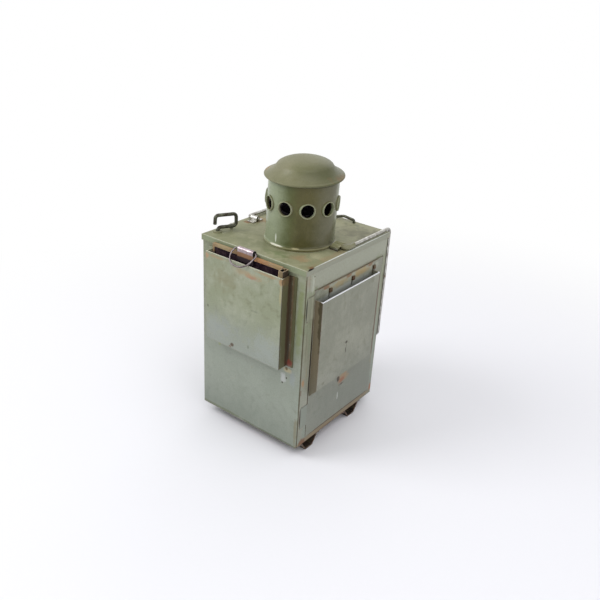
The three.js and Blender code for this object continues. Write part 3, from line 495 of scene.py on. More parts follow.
front_marks = [
    (11.6, -84, 180.2, 10, 4, 3.4, (156, 102, 78), 0.75, 0.75),
    (6, -84, 182, 27, 4, 5.4, (164, 144, 110), 0.6, 1),
    (-22, -84, 168, 30, 4, 18, (128, 118, 86), 0.35, 1.2),
    # Painted reflection: the next two rows are the white floor mirrored as blue grey low on the
    # pocket.
    (-30, -84, 112, 26, 4, 16, (146, 152, 150), 0.5, 1),
    (30, -84, 112, 22, 4, 20, (150, 157, 152), 0.5, 1),
    (-47, -84, 186, 3.4, 5, 4.5, (170, 134, 104), 0.8, 0.6),
    (-34, -84, 187.6, 17, 4, 2.2, tan, 0.55, 0.8),
    (30, -84, 188.4, 20, 4, 1.8, tan, 0.6, 0.7),
    (47, -84, 186.5, 3.2, 5, 4.6, tan, 0.9, 0.5),
    (47, -84, 172, 1.8, 5, 15, (166, 156, 118), 0.6, 0.7),
    # Dark brown at the top of the side wall: dirt, deepened as painted shade.
    (49, -78, 188, 3, 9, 8, (98, 80, 54), 0.8, 0.7),
    (-12.4, -84, 98.5, 3, 4, 2.6, (82, 66, 50), 0.9, 0.5),
    (-15, -84, 95.6, 2, 4, 1.6, rust, 0.6, 0.8),
    (-46, -84, 131.4, 1.6, 4, 2.2, (84, 84, 66), 0.7, 0.6),
    (16.9, -84, 146, 6, 4, 1.6, (104, 110, 92), 0.5, 0.9),
    (9, -84, 104, 1.8, 4, 2.4, (100, 106, 92), 0.6, 0.7),
    # The lip: a bare cut edge with a painted highlight.
    (0, -84.2, 190.7, 80, 6, 0.62, (196, 198, 178), 0.9, 0.03),
    # Painted shade: a dark line down the fold, the inner corner near black, and the flange darkened
    # as the side wall's painted shadow.
    (49, -84.2, 142, 1, 1, 80, painted_seam_shade, 0.7, 0.25),
    (48.6, -73, 142, 4.2, 3.2, 80, (62, 46, 30), 0.9, 0.3),
    (52.6, -72.2, 142, 2.2, 1.6, 90, (98, 80, 54), 0.9, 0.6),
    (56, -72.2, 142, 3.4, 1.8, 120, (88, 87, 56), 0.95, 0.25),
    (52.6, -72, 98, 4, 5, 5, (122, 58, 44), 0.9, 0.8),
]
front_layers = [
    # Painted reflection: blue grey low on the pocket is the white floor mirrored.
    (by_height(92, 150, 0.7), (142, 149, 145)),
    # The side wall dirty olive brown, deepened as painted shade.
    (by_facing(toward_door, (49, -77, 142), (6, 14, 90), 0.95), dirt_and_shade_olive),
    # Painted shade on the faces inside the pocket, looking back and to the left.
    (by_facing(toward_back, (0, -82, 142), (60, 4, 80), 0.9), painted_seam_shade),
    (by_facing(toward_left, (47, -77, 142), (6, 14, 80), 0.9), painted_seam_shade),
]
door_marks = [
    # Painted light: the band above the pocket is lightened so that the shade in the pocket's mouth
    # hardly shows.
    (66.6, 3, 169.5, 3, 64, 8, (164, 166, 150), 0.8, 0.35),
    (66.6, -4, 162, 3, 56, 5, (176, 180, 176), 0.7, 0.4),
    (66.6, -17, 170, 4, 18, 4.6, (162, 144, 104), 0.7, 0.7),
    (66.6, 22, 170.5, 4, 17, 5, (168, 146, 102), 0.8, 0.6),
    (66.6, -40, 173, 4, 7, 2.4, (128, 92, 64), 0.8, 0.6),
    (66.6, 0, 173.4, 4, 6, 2.4, (132, 94, 64), 0.8, 0.6),
    (66.6, 38, 173.4, 4, 6, 2.2, (128, 90, 62), 0.8, 0.6),
    (66.6, -63, 158.5, 3, 7, 22, (134, 136, 116), 0.9, 0.15),
    (66.6, -63, 36, 3, 7, 22, (130, 136, 126), 0.9, 0.15),
    # Painted highlight: a soft pale band near the hinge edge.
    (66.8, -60, 158, 3, 1.8, 17, (168, 168, 148), 0.5, 0.6),
    (66.6, 3, 174.9, 4, 64, 0.9, brown_line, 0.75, 0.35),
    *((66.6, y, 165, 3, 1.2, 6, rust_dark, 0.8, 0.4) for y in (-33.5, 5.5, 44.5)),
    # The pocket's top edge: bare cut metal with a painted highlight. Then rust and painted shade
    # down its right edge, and painted shade on the face beside it.
    (75.5, -5, 165.6, 3, 110, 0.75, bare_edge_highlight, 1, 0.03),
    (75.6, 44.6, 116, 2, 1.4, 64, (88, 62, 44), 0.95, 0.2),
    (66.6, 47.4, 116, 1.2, 2.2, 66, painted_seam_shade, 0.85, 0.2),
    (66.6, 60.6, 100, 3, 1.2, 70, tan_pale, 0.4, 0.7),
    (73, -55.7, 47, 4, 2, 4.4, (104, 70, 52), 0.8, 0.7),
    (76, -8.3, 104.3, 3, 2.2, 2.2, rust_dark, 0.85, 0.4),
    (76, -8.6, 95.5, 3, 1, 4.2, rust_dark, 0.85, 0.4),
    (76, -8, 100, 3, 0.8, 5, (84, 80, 66), 0.7, 0.5),
    (76, -46, 72, 3, 4, 2, (104, 102, 84), 0.5, 0.8),
    (66.5, 6, 52.5, 3, 13, 8.5, tan, 0.65, 0.8),
    (66.5, 4.2, 49.5, 3, 6.6, 4.8, (140, 92, 70), 0.8, 0.8),
    (66.5, 4.6, 44.6, 3, 6, 1.6, (74, 56, 46), 0.8, 0.8),
    (66.5, -3.4, 53.5, 3, 3.4, 4.2, (64, 52, 42), 0.9, 0.7),
    (66.5, -2, 31.5, 3, 1.3, 5.5, (178, 182, 176), 0.75, 0.5),
    # Painted shade in the gap along the door's hinge edge.
    (66.6, -56.9, 96, 3, 0.9, 42, painted_seam_shade, 0.95, 0.15),
    (66.6, -56.8, 150, 3, 0.6, 26, brown_line, 0.8, 0.4),
    # Painted shade under the door's bottom edge.
    (66.6, 3, 7.8, 4, 70, 1.5, (82, 62, 44), 0.85, 0.3),
    (66.6, -40, 61, 4, 7, 2.4, (104, 62, 44), 0.8, 0.5),
    # Painted shade in the slots where the door's tongues pass.
    (66.4, -67.4, 158.5, 3, 0.6, 13.4, painted_seam_shade, 1, 0.05),
    (66.4, -67.4, 36, 3, 0.6, 13.4, (62, 40, 30), 1, 0.05),
]
door_layers = [
    # The pocket's side wall: olive brown from dirt and painted shade, and darkest near the door's
    # face as painted shade.
    (by_facing(toward_front, (71, -55.7, 110), (12, 4, 90), 0.95), (118, 107, 84)),
    (by_facing(toward_front, (78.6, -55.7, 168), (8.6, 4, 66), 0.9), (72, 64, 42)),
    (by_height(20, 110, 0.5), (112, 118, 112)),
]
case_marks = [
    (66, 0, 3.2, 6, 100, 4.4, (132, 116, 90), 0.85, 0.35),
    (66, 0, 0.3, 6, 100, 0.8, rust, 0.7, 0.5),
    (66, -61, 4.4, 6, 8, 4.8, (112, 76, 50), 0.85, 0.6),
    (65, 70, 8, 6, 4, 6, (150, 96, 66), 0.8, 0.5),
    (67.2, -66.4, 78, 3, 3, 7, (166, 126, 90), 0.85, 0.8),
    (67.2, -69, 68, 3, 1.2, 5, rust, 0.7, 0.8),
    (67.2, -62, 88, 3, 1.4, 9, tan_pale, 0.6, 0.8),
    # Painted shade in the slots for the door's tongues.
    (67.2, -68.2, 158.5, 3, 0.7, 13.6, painted_seam_shade, 1, 0.05),
    (67.2, -68.2, 36, 3, 0.7, 13.6, (62, 40, 30), 1, 0.05),
    (66.8, -71, 100, 1.6, 1.7, 240, (76, 72, 48), 0.9, 0.3),
    (67.2, -65.2, 122, 3, 0.8, 36, (98, 98, 74), 0.5, 0.6),
    # Painted shade in the gap along the door's hinge edge.
    (66.6, -57.2, 96, 3, 0.8, 92, (78, 62, 46), 0.9, 0.3),
    # Painted highlight: a soft pale band at the top of the corner strip.
    (67.2, -60, 184, 3, 2.2, 17, (176, 180, 164), 0.6, 0.7),
    (67.2, -65.5, 188, 3, 2.4, 18, (128, 122, 104), 0.5, 0.8),
    # Painted highlight: a soft pale band down the corner strip.
    (67.2, -58.4, 120, 3, 1.2, 80, (166, 166, 146), 0.5, 0.6),
    (66.4, -68, 190, 3, 5, 8, (146, 126, 104), 0.35, 1),
    # Painted shade in the slot at the door's free edge.
    (65.2, 64.1, 165.5, 3, 1.7, 11, painted_gap_shade, 1, 0.1),
    (65, 69.6, 120, 3, 1, 80, (96, 88, 62), 0.5, 0.6),
    (44.6, -71, 78, 5, 4, 7, (184, 186, 184), 0.75, 0.9),
    (44, -71, 72, 1.1, 3, 1.2, rust_dark, 0.9, 0.2),
    (49, -71, 79, 1, 3, 1.4, rust_dark, 0.9, 0.3),
    (49.5, -71, 88.4, 6, 3, 3.6, (178, 166, 128), 0.7, 0.7),
    (48.4, -71, 90, 2, 3, 2.6, (92, 72, 42), 0.9, 0.6),
    (57, -71, 80, 6, 3, 10, (146, 154, 156), 0.5, 1),
    # Painted shadow under the pocket's bottom edge.
    (0, -71, 91.4, 60, 3, 1.7, (94, 98, 84), 0.6, 0.35),
    (-41.9, -71, 82.6, 3, 3, 3.4, (138, 146, 96), 0.6, 0.8),
    (61, -71, 150, 4.6, 3, 50, (128, 138, 90), 0.65, 0.8),
    (63.4, -71, 20, 2.4, 3, 24, (122, 112, 84), 0.6, 0.7),
    (-40, -71, 2, 60, 3, 2.2, (96, 98, 72), 0.6, 0.6),
    (40, -71, 1.2, 60, 3, 1.6, (82, 84, 66), 0.7, 0.5),
]
case_layers = [
    # Painted reflection: the white floor mirrored as blue grey low on the case.
    (by_height(70, 150, 0.6), floor_reflection_grey),
    (by_height(0, 60, 0.45), (106, 114, 104)),
    (by_facing(toward_door, (66, 4, 187), (4, 90, 17), 0.85), (156, 158, 142)),
    (by_facing(toward_door, (67, -66, 70), (4, 9, 70), 0.35), (148, 140, 122)),
    (by_facing(downward, (0, 0, 0), (90, 90, 8), 0.8), rust),
]
roof_layers = [
    (by_facing(toward_front, (0, -72, 196), (90, 4, 8), 1), (136, 144, 116)),
    (by_facing(toward_door, (66, 0, 196), (4, 90, 8), 1), (146, 148, 133)),
]
roof_marks = [
    (44, -52, 200, 14, 12, 5, (160, 128, 96), 0.5, 1.1),
    (52, -40, 200, 10, 14, 5, (176, 170, 140), 0.5, 1.1),
    (62, -30, 200, 6, 44, 5, (150, 128, 98), 0.4, 1),
    (20, -60, 200, 16, 9, 5, (108, 124, 82), 0.6, 1.1),
    (2, -52, 200, 40, 16, 5, (112, 116, 86), 0.45, 0.9),
    (40, 44, 200, 24, 26, 5, (112, 110, 94), 0.6, 1),
    (54, 10, 200, 14, 16, 5, (156, 152, 128), 0.5, 1),
    (-50, 4, 200, 12, 12, 5, tan, 0.6, 1),
    (-20, -40, 200, 24, 20, 5, (120, 122, 90), 0.4, 1),
    # Painted highlights along the roof's top edges at the front and the door side.
    (0, -72, 200.3, 90, 1, 1, (176, 180, 158), 0.85, 0.08),
    (66, 6, 200.3, 0.9, 80, 0.9, (206, 210, 204), 0.95, 0.06),
    # Painted shade in the notch at the roof's corner.
    (66.3, -65.4, 199.5, 2, 5.2, 0.8, painted_gap_shade, 1, 0.1),
    (64.5, -62, 200.2, 2.4, 4, 1.4, rust, 0.7, 0.6),
    (-57, -13, 200.3, 6, 5, 2, (132, 92, 62), 0.7, 0.6),
]
tube_light_shade_and_wear = [
    # Painted light: the side toward the big lamp greener, then pale where it faces the lamp; the
    # right side lighter grey, with a bright rim at its very edge.
    (painted_light_by_side(left_side, 0, 0.45, 0.7), (88, 98, 58)),
    (painted_light_by_side(left_side, 0.25, 0.85, 0.95), (148, 157, 129)),
    (painted_light_by_side(right_side, 0.2, 0.7, 0.6), (110, 109, 92)),
    (painted_light_by_side(right_side, 0.86, 1, 0.7), (136, 142, 116)),
    # The vent collars paler, worn paint with a painted highlight, and the bead a paler olive.
    (by_reach(35, 35.9, 233, 250, 0.75), (150, 154, 126)),
    (by_reach(35.2, 35.8, 200, 206, 0.5), (146, 142, 106)),
    # Painted shadow under the cap's brim, and the bore nearly black, soot with painted shade.
    (by_reach(-2, -1, 263.4, 300, 0.75), (46, 42, 30)),
    (by_reach(34.1, 33.6, 0, 400, 1), (40, 32, 44)),
]
tube_painted_highlights = [
    # Painted highlights: a glint above the foot bead and light along the bead.
    (9, -47.5, 210, 1, 3, 5, (214, 218, 206), 0.8, 0.25),
    (9, -49, 203.2, 13, 3, 1, (218, 216, 200), 0.85, 0.3),
    (30, -43.5, 203.2, 6, 4, 1, (176, 168, 130), 0.6, 0.6),
]
cap_marks = [
    (48, 4, 268, 9, 26, 4, (112, 90, 62), 0.6, 1),
    (-22, -26, 268, 9, 9, 4, tan, 0.5, 1),
    (12, -13, 284, 24, 24, 6, (122, 118, 92), 0.5, 1),
]
cap_painted_light_and_shade = [
    # Painted light on the cap's left side and painted shade on its right.
    (painted_light_by_side((-0.806, -0.592, 0.1), 0, 0.6, 0.3), (136, 134, 110)),
    (painted_light_by_side((0.8, 0.2, 0), -0.1, 0.5, 0.7), (72, 75, 46)),
]
tab_marks = [
    (-3, -77.2, 195.6, 40, 8, 2.9, (140, 106, 78), 1),
    (-3, -77.2, 188, 40, 8, 6.4, (44, 32, 38), 1),
    # Painted shade in a gap at the roll's right end.
    (6.9, -75, 200.6, 0.8, 5, 4, painted_gap_shade, 1),
]
# Painted shade inside the channel's open mouth.
channel_painted_shade = [(44.4, -78, 193, 2.5, 4.3, 12, painted_gap_shade, 1, 0.05)]
channel_layers = [
    # Painted shade on the side toward the door; the front keeps its olive brown.
    (by_facing(toward_door, (47, -78, 191), (4, 12, 22), 1), (48, 36, 26)),
    (by_facing(toward_front, (46.2, -82.6, 191), (3.6, 4, 22), 0.9), (110, 94, 64)),
]
rib_painted_shade = [
    # Painted shade: darker low in the grooves between the ribs, and near black at the clip's foot
    # on the roof.
    (by_height(202.4, 204, 0.85, 0), (74, 72, 44)),
    (by_height(200.6, 202.6, 0.9, 0), painted_gap_shade),
]
slide_marks = [
    (-34, -77, 194, 18, 8, 8, (160, 146, 112), 0.75, 0.8),
    (14, -77, 195, 16, 8, 6, (178, 126, 84), 0.6, 0.9),
    (36, -77, 195, 7, 8, 6, (150, 130, 92), 0.7, 0.8),
]

# %% Finishes and the pieces that wear them
worn_paint("case_paint", "body_shell floor_plate lens_slide_holder", olive, olive_faded,
    marks=case_marks, layers=case_layers)
worn_paint("front_paint", "front_pocket", (138, 144, 118), (154, 158, 137), marks=front_marks,
    layers=front_layers)
worn_paint("guide_paint", "pocket_guide_right pocket_guide_left", (64, 50, 36), (78, 62, 44),
    specks=0.9, marks=[(40, -78, 189, 3, 8, 8, tan, 0.9, 0.4)])
worn_paint("door_paint", "door_panel door_pocket", (126, 128, 113), (141, 142, 127),
    marks=door_marks, layers=door_layers)
worn_paint("roof_paint", "roof_plate key_washer", (128, 130, 100), (149, 148, 120), wear=0.6,
    specks=0.4, gloss=0.5, coat=0.0, shine=0.2, streaks=0.0, marks=roof_marks, layers=roof_layers)
worn_paint("chimney_paint", "chimney_tube chimney_rivet cap_collar", (75, 73, 40), (91, 87, 53),
    wear=0.5, specks=0.15, grime=0.15, gloss=0.24, streaks=0.05, coat=0.15, shine=0.12, swell=0.7,
    marks=tube_painted_highlights, layers=tube_light_shade_and_wear)
worn_paint("cap_paint", "chimney_cap", (108, 109, 77), (123, 121, 93), wear=0.6, specks=0.2,
    gloss=0.42, streaks=0.0, coat=0.06, shine=0.2, swell=0.8, marks=cap_marks, layers=cap_painted_light_and_shade)
worn_paint("slide_paint", "slide_frame", (142, 110, 76), (162, 134, 98), wear=0.8, specks=0.9,
    gloss=0.5, marks=slide_marks)
worn_paint("channel_paint", "", (154, 130, 94), (166, 142, 106), specks=0.9, gloss=0.5,
    marks=channel_painted_shade, layers=channel_layers)
worn_paint("clip_paint", "bail_sleeve", (112, 112, 84), (130, 128, 100), wear=0.6, specks=0.3,
    streaks=0.0)
worn_paint("rib_paint", "bail_clip_right", (138, 138, 102), (152, 150, 116), wear=0.3, specks=0.2,
    streaks=0.0, swell=0.3, layers=rib_painted_shade)
worn_paint("skid_paint", "skid_front skid_back", (42, 36, 33), (56, 46, 40), wear=1.1, specks=0.8,
    grime=0.6, shine=0.15, coat=0.0, marks=[(65.2, 0, -6, 1.6, 90, 9, rust, 0.5, 0.8)])
bare_metal("bare_steel", "bail bail_clip_left hinge_pin_lower hinge_pin_upper door_catch key_stop",
    (196, 195, 190), (150, 147, 140), rust, -0.1, 0.24)
bare_metal("tab_steel", "slide_tab", (196, 184, 190), (150, 134, 138), rust_dark, 0.0, 0.38,
    marks=tab_marks)
bare_metal("ring_steel", "pull_ring", (138, 130, 132), (104, 94, 96), rust_dark, 0.0, 0.4)
bare_metal("dark_wire", "turn_key back_loop", (96, 98, 84), (72, 74, 62), rust_dark, 0.4, 0.45)
bare_metal("tinned_steel",
    "screen_frame screen_bracket lens_retainer fuel_tank "
    "tank_rail_front tank_rail_back reflector reflector_stay", (190, 190, 186), (146, 142, 132),
    (84, 70, 54), 0.25, 0.28, 14.0)
bare_metal("sooty_steel", "inner_flue", (74, 66, 80), (54, 46, 58), (30, 26, 30), 0.6, 0.5)
bare_metal("door_tabs", "door_liner", (122, 106, 82), (98, 78, 56), (90, 66, 48), 0.6, 0.5)
bare_metal("burner_brass",
    "lens_bezel burner_collar burner_body burner_cap wick_spindle wick_knob filler_cap",
    (196, 158, 84), (150, 112, 54), (70, 52, 34), 0.1, 0.26)
dusty_glass("dark_glass", "slide_glass", (38, 27, 37), 0.0, (108, 86, 90), 0.5)
dusty_glass("red_glass", "screen_glass", (150, 12, 14), 0.7, (110, 60, 54))
dusty_glass("clear_glass", "lens", (228, 236, 232), 0.95, (150, 146, 130), 0.3)
plaited_cotton("wick_cotton", "wick")
plain = [name for name, piece in nodes.items() if piece.active_material.name not in finishes]
print("finishes:", len(finishes), "nodes without one:", plain)

# %% [markdown]
# ## Surfaces from arrays
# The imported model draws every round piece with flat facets, because it is made for measuring. The
# ones that show are made again as smooth. Each is a grid of points from a formula, and the faces
# join neighbouring points. A cylinder with modifiers would also do, but the formula keeps every
# size in sight.


# %% Grids, joined patches and turned profiles
weld_distance = 2e-6
fold_angle = math.radians(38)


def grid_faces(rows, columns, wrap_rows):
    """Corner numbers of the faces between neighbours: (i, j), (i+1, j), (i+1, j+1), (i, j+1)."""
    i, j = np.meshgrid(np.arange(rows - (not wrap_rows)), np.arange(columns), indexing="ij")
    below, beside = (i + 1) % rows, (j + 1) % columns
    corners = [i * columns + j, below * columns + j, below * columns + beside, i * columns + beside]
    return np.stack(corners, -1).reshape(-1, 4)


def make_piece(name, grids, body, finish, instead_of, wrap_rows=False):
    """Joins grids of points in millimetres into one closed mesh with its faces outward. The columns
    of each grid run round and meet, and the rows do where wrap_rows says so."""
    points, faces, count = [], [], 0
    for grid in grids:
        rows, columns = grid.shape[:2]
        faces += (grid_faces(rows, columns, wrap_rows) + count).tolist()
        points.append(grid.reshape(-1, 3))
        count += rows * columns
    mesh = bpy.data.meshes.new(name)
    mesh.from_pydata(place(np.concatenate(points)), [], faces)
    work = bmesh.new()
    work.from_mesh(mesh)
    bmesh.ops.remove_doubles(work, verts=work.verts, dist=weld_distance)
    bmesh.ops.dissolve_degenerate(work, edges=work.edges, dist=weld_distance / 2)
    open_edges = sum(edge.is_boundary for edge in work.edges)
    bmesh.ops.recalc_face_normals(work, faces=work.faces)
    work.to_mesh(mesh)
    work.free()
    mesh.polygons.foreach_set("use_smooth", np.ones(len(mesh.polygons), bool))
    mesh.set_sharp_from_angle(angle=fold_angle)
    made = put(name, mesh)
    dress(made, finish)
    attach(made, body)
    if instead_of:
        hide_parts(instead_of)
    print(f"{name}: {len(mesh.polygons)} faces, {open_edges} open edges")


def turned(profile, centre, steps=96, start=0.0, uneven=0.0):
    """Turns a profile of (radius, height) round a vertical axis: x = r cos a, y = r sin a.
    Uneven adds a slow wave to the radius, since hand-spun sheet is never quite round."""
    profile = np.asarray(profile, float)
    angle = np.radians(start) + np.arange(steps) * 2 * np.pi / steps
    wave = uneven * (np.sin(2 * angle + 0.6) + 0.5 * np.sin(5 * angle + 2.0))
    radius = profile[:, :1] + wave * np.minimum(profile[:, :1] / 30, 1)
    height = np.broadcast_to(profile[:, 1:], radius.shape)
    grid = np.stack([radius * np.cos(angle), radius * np.sin(angle), height], -1)
    return grid + np.array(centre)


def arc(centre, radius, start, end, steps):
    """Points on a circle: centre + radius (cos a, sin a), with a from start to end in degrees."""
    angle = np.radians(np.linspace(start, end, steps))
    return np.array(centre) + radius * np.stack([np.cos(angle), np.sin(angle)], -1)


# %% [markdown]
# ## Chimney
# The chimney is a rolled tube with a ring of round vents. The edge of each was drawn outward into a
# short collar, which stiffens the hole. One vent's patch starts as a rectangle of the tube's wall,
# closes in to a circle, rises as the collar and goes back inside. Ten such patches meet edge to
# edge. A Boolean cut would leave no room for the rounded foot of each collar.

# %% Chimney tube with drawn vents
tube_radius = 34.6
tube_wall = 1.2
vent_height = 241.7
vent_radius = 6.4
cap_lift = 3.1
vent_count = 10
vent_turn = -44.5
vent_half = 10.0
brim_edge = 264.0 + cap_lift
tube_top = brim_edge + 0.4
tube_dip = 0.026
foot_bead = 1.0
collar_flare = 1.6
settled_from = 30.0


def settled(grid, dip, roll=0.0):
    """Years of handling put the chimney out of true. Each point moves by lean * height, drops by
    dip * its distance toward the front corner, and rises by roll * its distance to the right. The
    last two grow from nothing at the roof to their full amount as t^2 (3 - 2 t)."""
    off = grid[..., :2] - chimney_middle[:2]
    above = grid[..., 2:] - roof_top
    share = np.clip(above[..., 0] / settled_from, 0, 1)
    tip = (roll * (off @ view_right) - dip * (off @ view_front)) * share ** 2 * (3 - 2 * share)
    leant = grid[..., :2] + above * chimney_lean
    return np.concatenate([leant, grid[..., 2:] + tip[..., None]], -1)


def vent_patch(turn):
    """One vent from the rectangle round it to its bore, and back over the inner wall. A point of
    the rectangle and the point of a circle in the same direction are blended by a share. A level
    is that share, the circle's radius, how far it stands out, and its depth in the wall."""
    steps = 12
    half_width = np.pi / vent_count * tube_radius
    run = np.linspace(-1, 1, steps + 1)[:-1]
    one = np.ones(steps)
    u = half_width * np.concatenate([run, one, -run, -one])
    v = vent_half * np.concatenate([-one, run, one, -run])
    way = np.arctan2(v, u)

    def ring(share, radius, stand, wall):
        across = (1 - share) * radius * np.cos(way) + share * u
        up = (1 - share) * radius * np.sin(way) + share * v
        angle = across / tube_radius
        tip = tube_radius + collar_flare * stand
        out = (tube_radius - wall) * np.cos(angle) * (1 - stand) + stand * tip
        side = (tube_radius - wall) * np.sin(angle)
        return np.stack([out, side, up], -1)

    outside = [(share, 8.6, 0, 0) for share in (1.0, 0.7, 0.4, 0.15, 0)]
    collar = [(0, radius, stand, 0) for radius, stand in (
        (8.1, 0.06), (7.75, 0.2), (7.58, 0.45), (7.5, 0.8), (7.36, 0.95), (7.05, 1.0), (6.7, 0.97),
        (6.46, 0.85), (vent_radius, 0.6), (vent_radius, 0.1))]
    inside = [(share, vent_radius, 0, tube_wall) for share in (0, 0.3, 1.0)]
    rings = np.stack([ring(*level) for level in outside + collar + inside])
    cos, sin = math.cos(math.radians(turn)), math.sin(math.radians(turn))
    x = rings[..., 0] * cos - rings[..., 1] * sin
    y = rings[..., 0] * sin + rings[..., 1] * cos
    return np.stack([x, y, rings[..., 2] + vent_height], -1) + np.array(chimney_middle)


tube_bore = tube_radius - tube_wall
vents_low, vents_high = vent_height - vent_half, vent_height + vent_half
outer_foot = np.concatenate([
    [(tube_bore, roof_top), (tube_radius + foot_bead, roof_top)],
    arc((tube_radius + 0.6, roof_top + 2), foot_bead, -70, 70, 7),
    [(tube_radius + 0.4, roof_top + 3.6), (tube_radius + 0.1, roof_top + 4.3),
     (tube_radius, roof_top + 5.2), (tube_radius, roof_top + 19), (tube_radius, vents_low)]])
inner_foot = [(tube_bore, vents_low), (tube_bore, roof_top)]
upper = [(tube_radius, vents_high), (tube_radius, tube_top), (tube_bore, tube_top),
    (tube_bore, vents_high)]
vent_start = vent_turn - 180 / vent_count
bands = [turned(band, chimney_middle, 12 * vent_count, vent_start)
    for band in (outer_foot, inner_foot, upper)]
vents = [vent_patch(vent_turn + 360 / vent_count * k) for k in range(vent_count)]
shell = [settled(grid, tube_dip) for grid in bands + vents]
make_piece("chimney_shell", shell, "case", "chimney_paint", "chimney_tube")

# %% [markdown]
# ## Chimney cap
# The cap was spun from one disc: a shallow dome, a soft crease, and a brim that slopes down to a
# rolled edge. Its profile follows them, and then comes back one sheet lower for the underside.

# %% Spun cap
brim_radius = 39.0
brim_roll = 1.1
dome_radius = 28.5
dome_foot = brim_edge + 6.4
dome_rise = 9.9
dome_power = 2.1
cap_uneven = 0.12
cap_dip, cap_roll = 0.05, 0.018


def cap_line(lower):
    """The cap's line from its top to its roll, moved in by a thickness. The dome is a flattened
    ball, (r / foot radius)^p + (height / rise)^p = 1 with p the dome's power, and a soft bend joins
    it to the brim: (1-t)^2 first + 2 t (1-t) corner + t^2 last."""
    turn = np.linspace(np.pi / 2, 0.36, 26)
    across = (dome_radius - lower) * np.cos(turn) ** (2 / dome_power)
    above = (dome_rise - lower * 0.4) * np.sin(turn) ** (2 / dome_power)
    dome = np.stack([across, dome_foot + above - lower * 0.6], -1)
    slope_start = np.array([dome_radius + 4.6, dome_foot - 2.9 - lower * 1.05])
    corner = np.array([dome_radius + 0.9 - lower * 0.9, dome_foot - 0.5 - lower])
    t = np.linspace(0, 1, 10)[:, None]
    crease = (1 - t) ** 2 * dome[-1] + 2 * t * (1 - t) * corner + t ** 2 * slope_start
    slope_end = np.array([brim_radius - 2.0, brim_edge + 1.22 - lower * 1.05])
    slope = slope_start + np.linspace(0, 1, 5)[1:, None] * (slope_end - slope_start)
    return np.concatenate([dome, crease[1:], slope])


roll = arc((brim_radius - brim_roll, brim_edge), brim_roll, 60, -150, 12)
cap_profile = np.concatenate([cap_line(0.0), roll, cap_line(tube_wall)[::-1]])
cap_profile[[0, -1], 0] = 0
spun = settled(turned(cap_profile, chimney_middle, 128, 0, cap_uneven), cap_dip, cap_roll)
make_piece("spun_cap", [spun], "case", "cap_paint", "chimney_cap")

# %% [markdown]
# ## Bent wire
# The bail, the turn key, the loop at the back and the pull ring are round wire bent over a peg. A
# route is written as corners with a bend radius at each, and a circle is carried along it. A curve
# with a bevel would look the same, but points in an array can be nudged: a hand-bent wire is never
# quite straight.


# %% A circle carried along a bent route
def bent(corners, radii, steps=9):
    """Replaces each inner corner by an arc of its radius that touches both straight runs."""
    corners = np.asarray(corners, float)
    runs = [corners[:1]]
    for before, corner, after, radius in zip(corners, corners[1:], corners[2:], radii):
        back_way = (before - corner) / np.linalg.norm(before - corner)
        on_way = (after - corner) / np.linalg.norm(after - corner)
        half = math.acos(float(back_way @ on_way)) / 2
        middle = (back_way + on_way) / np.linalg.norm(back_way + on_way)
        centre = corner + middle * radius / math.sin(half)
        share = np.linspace(-1, 1, steps)[:, None] * (math.pi / 2 - half)
        cross = (on_way - back_way) / np.linalg.norm(on_way - back_way)
        runs.append(centre + radius * (cross * np.sin(share) - middle * np.cos(share)))
    return np.concatenate([*runs, corners[-1:]])


least_step = 0.02


def wire(route, radius, facing, spacing=1.6, sides=16, sway=0.0):
    """Point = route + radius (cos a across + sin a up), with across square to the route and to
    facing. Sway lets the route's middle wander in two slow waves. A quarter arc closes each end."""
    route = np.asarray(route, float)
    length = np.concatenate([[0], np.cumsum(np.linalg.norm(np.diff(route, axis=0), axis=1))])
    stations = np.unique(np.concatenate([length, np.arange(0, length[-1], spacing)]))
    stations = stations[np.concatenate([[True], np.diff(stations) > least_step])]
    line = np.stack([np.interp(stations, length, route[:, k]) for k in range(3)], -1)
    tangent = np.gradient(line, stations, axis=0)
    tangent /= np.linalg.norm(tangent, axis=1, keepdims=True)
    across = np.cross(tangent, np.array(facing, float))
    across /= np.linalg.norm(across, axis=1, keepdims=True)
    up = np.cross(across, tangent)
    slow = np.sin(stations / 9.0)[:, None] * across + np.sin(stations / 13.0 + 1)[:, None] * up
    from_end = np.minimum(stations, stations[-1] - stations)[:, None]
    line = line + sway * slow * from_end / stations[-1] * 2
    turn = np.linspace(0, np.pi / 2, 5)[:-1]
    head = line[0] - tangent[0] * radius * 0.5 * (1 - np.sin(turn))[:, None]
    tail = line[-1] + tangent[-1] * radius * 0.5 * (1 - np.sin(turn[::-1]))[:, None]
    line = np.concatenate([head, line, tail])
    across, up = (np.pad(way, ((len(turn), len(turn)), (0, 0)), "edge") for way in (across, up))
    size = radius * np.concatenate([np.sin(turn), np.ones(len(stations)), np.sin(turn[::-1])])
    angle = np.arange(sides) * 2 * np.pi / sides
    circle = np.cos(angle)[:, None] * across[:, None] + np.sin(angle)[:, None] * up[:, None]
    return line[:, None] + size[:, None, None] * circle


def wire_piece(name, body, finish, instead_of, *args, **settings):
    make_piece(name, [wire(*args, **settings)], body, finish, instead_of)


# %% Bail, turn key, back loop and pull ring
bail_radius, sleeve_radius, key_radius, loop_radius, ring_radius = 1.65, 2.7, 1.8, 1.5, 0.8
bail_arm, bail_pivot, bail_behind, bail_high, bail_low = 63.5, -5, 76, 203, 73
bail_side = [(-49.4, bail_pivot, bail_high), (-bail_arm, bail_pivot, bail_high),
    (-bail_arm, bail_behind, bail_high), (-bail_arm, bail_behind, bail_low)]
bail_corners = bail_side + [(-x, y, z) for x, y, z in reversed(bail_side)]
bail_route = bent(bail_corners, [4, 6, 6, 6, 6, 4])
wire_piece("bail_wire", "carrying_bail", "bare_steel", "bail", bail_route, bail_radius,
    (1, 1, 1), sway=0.12)

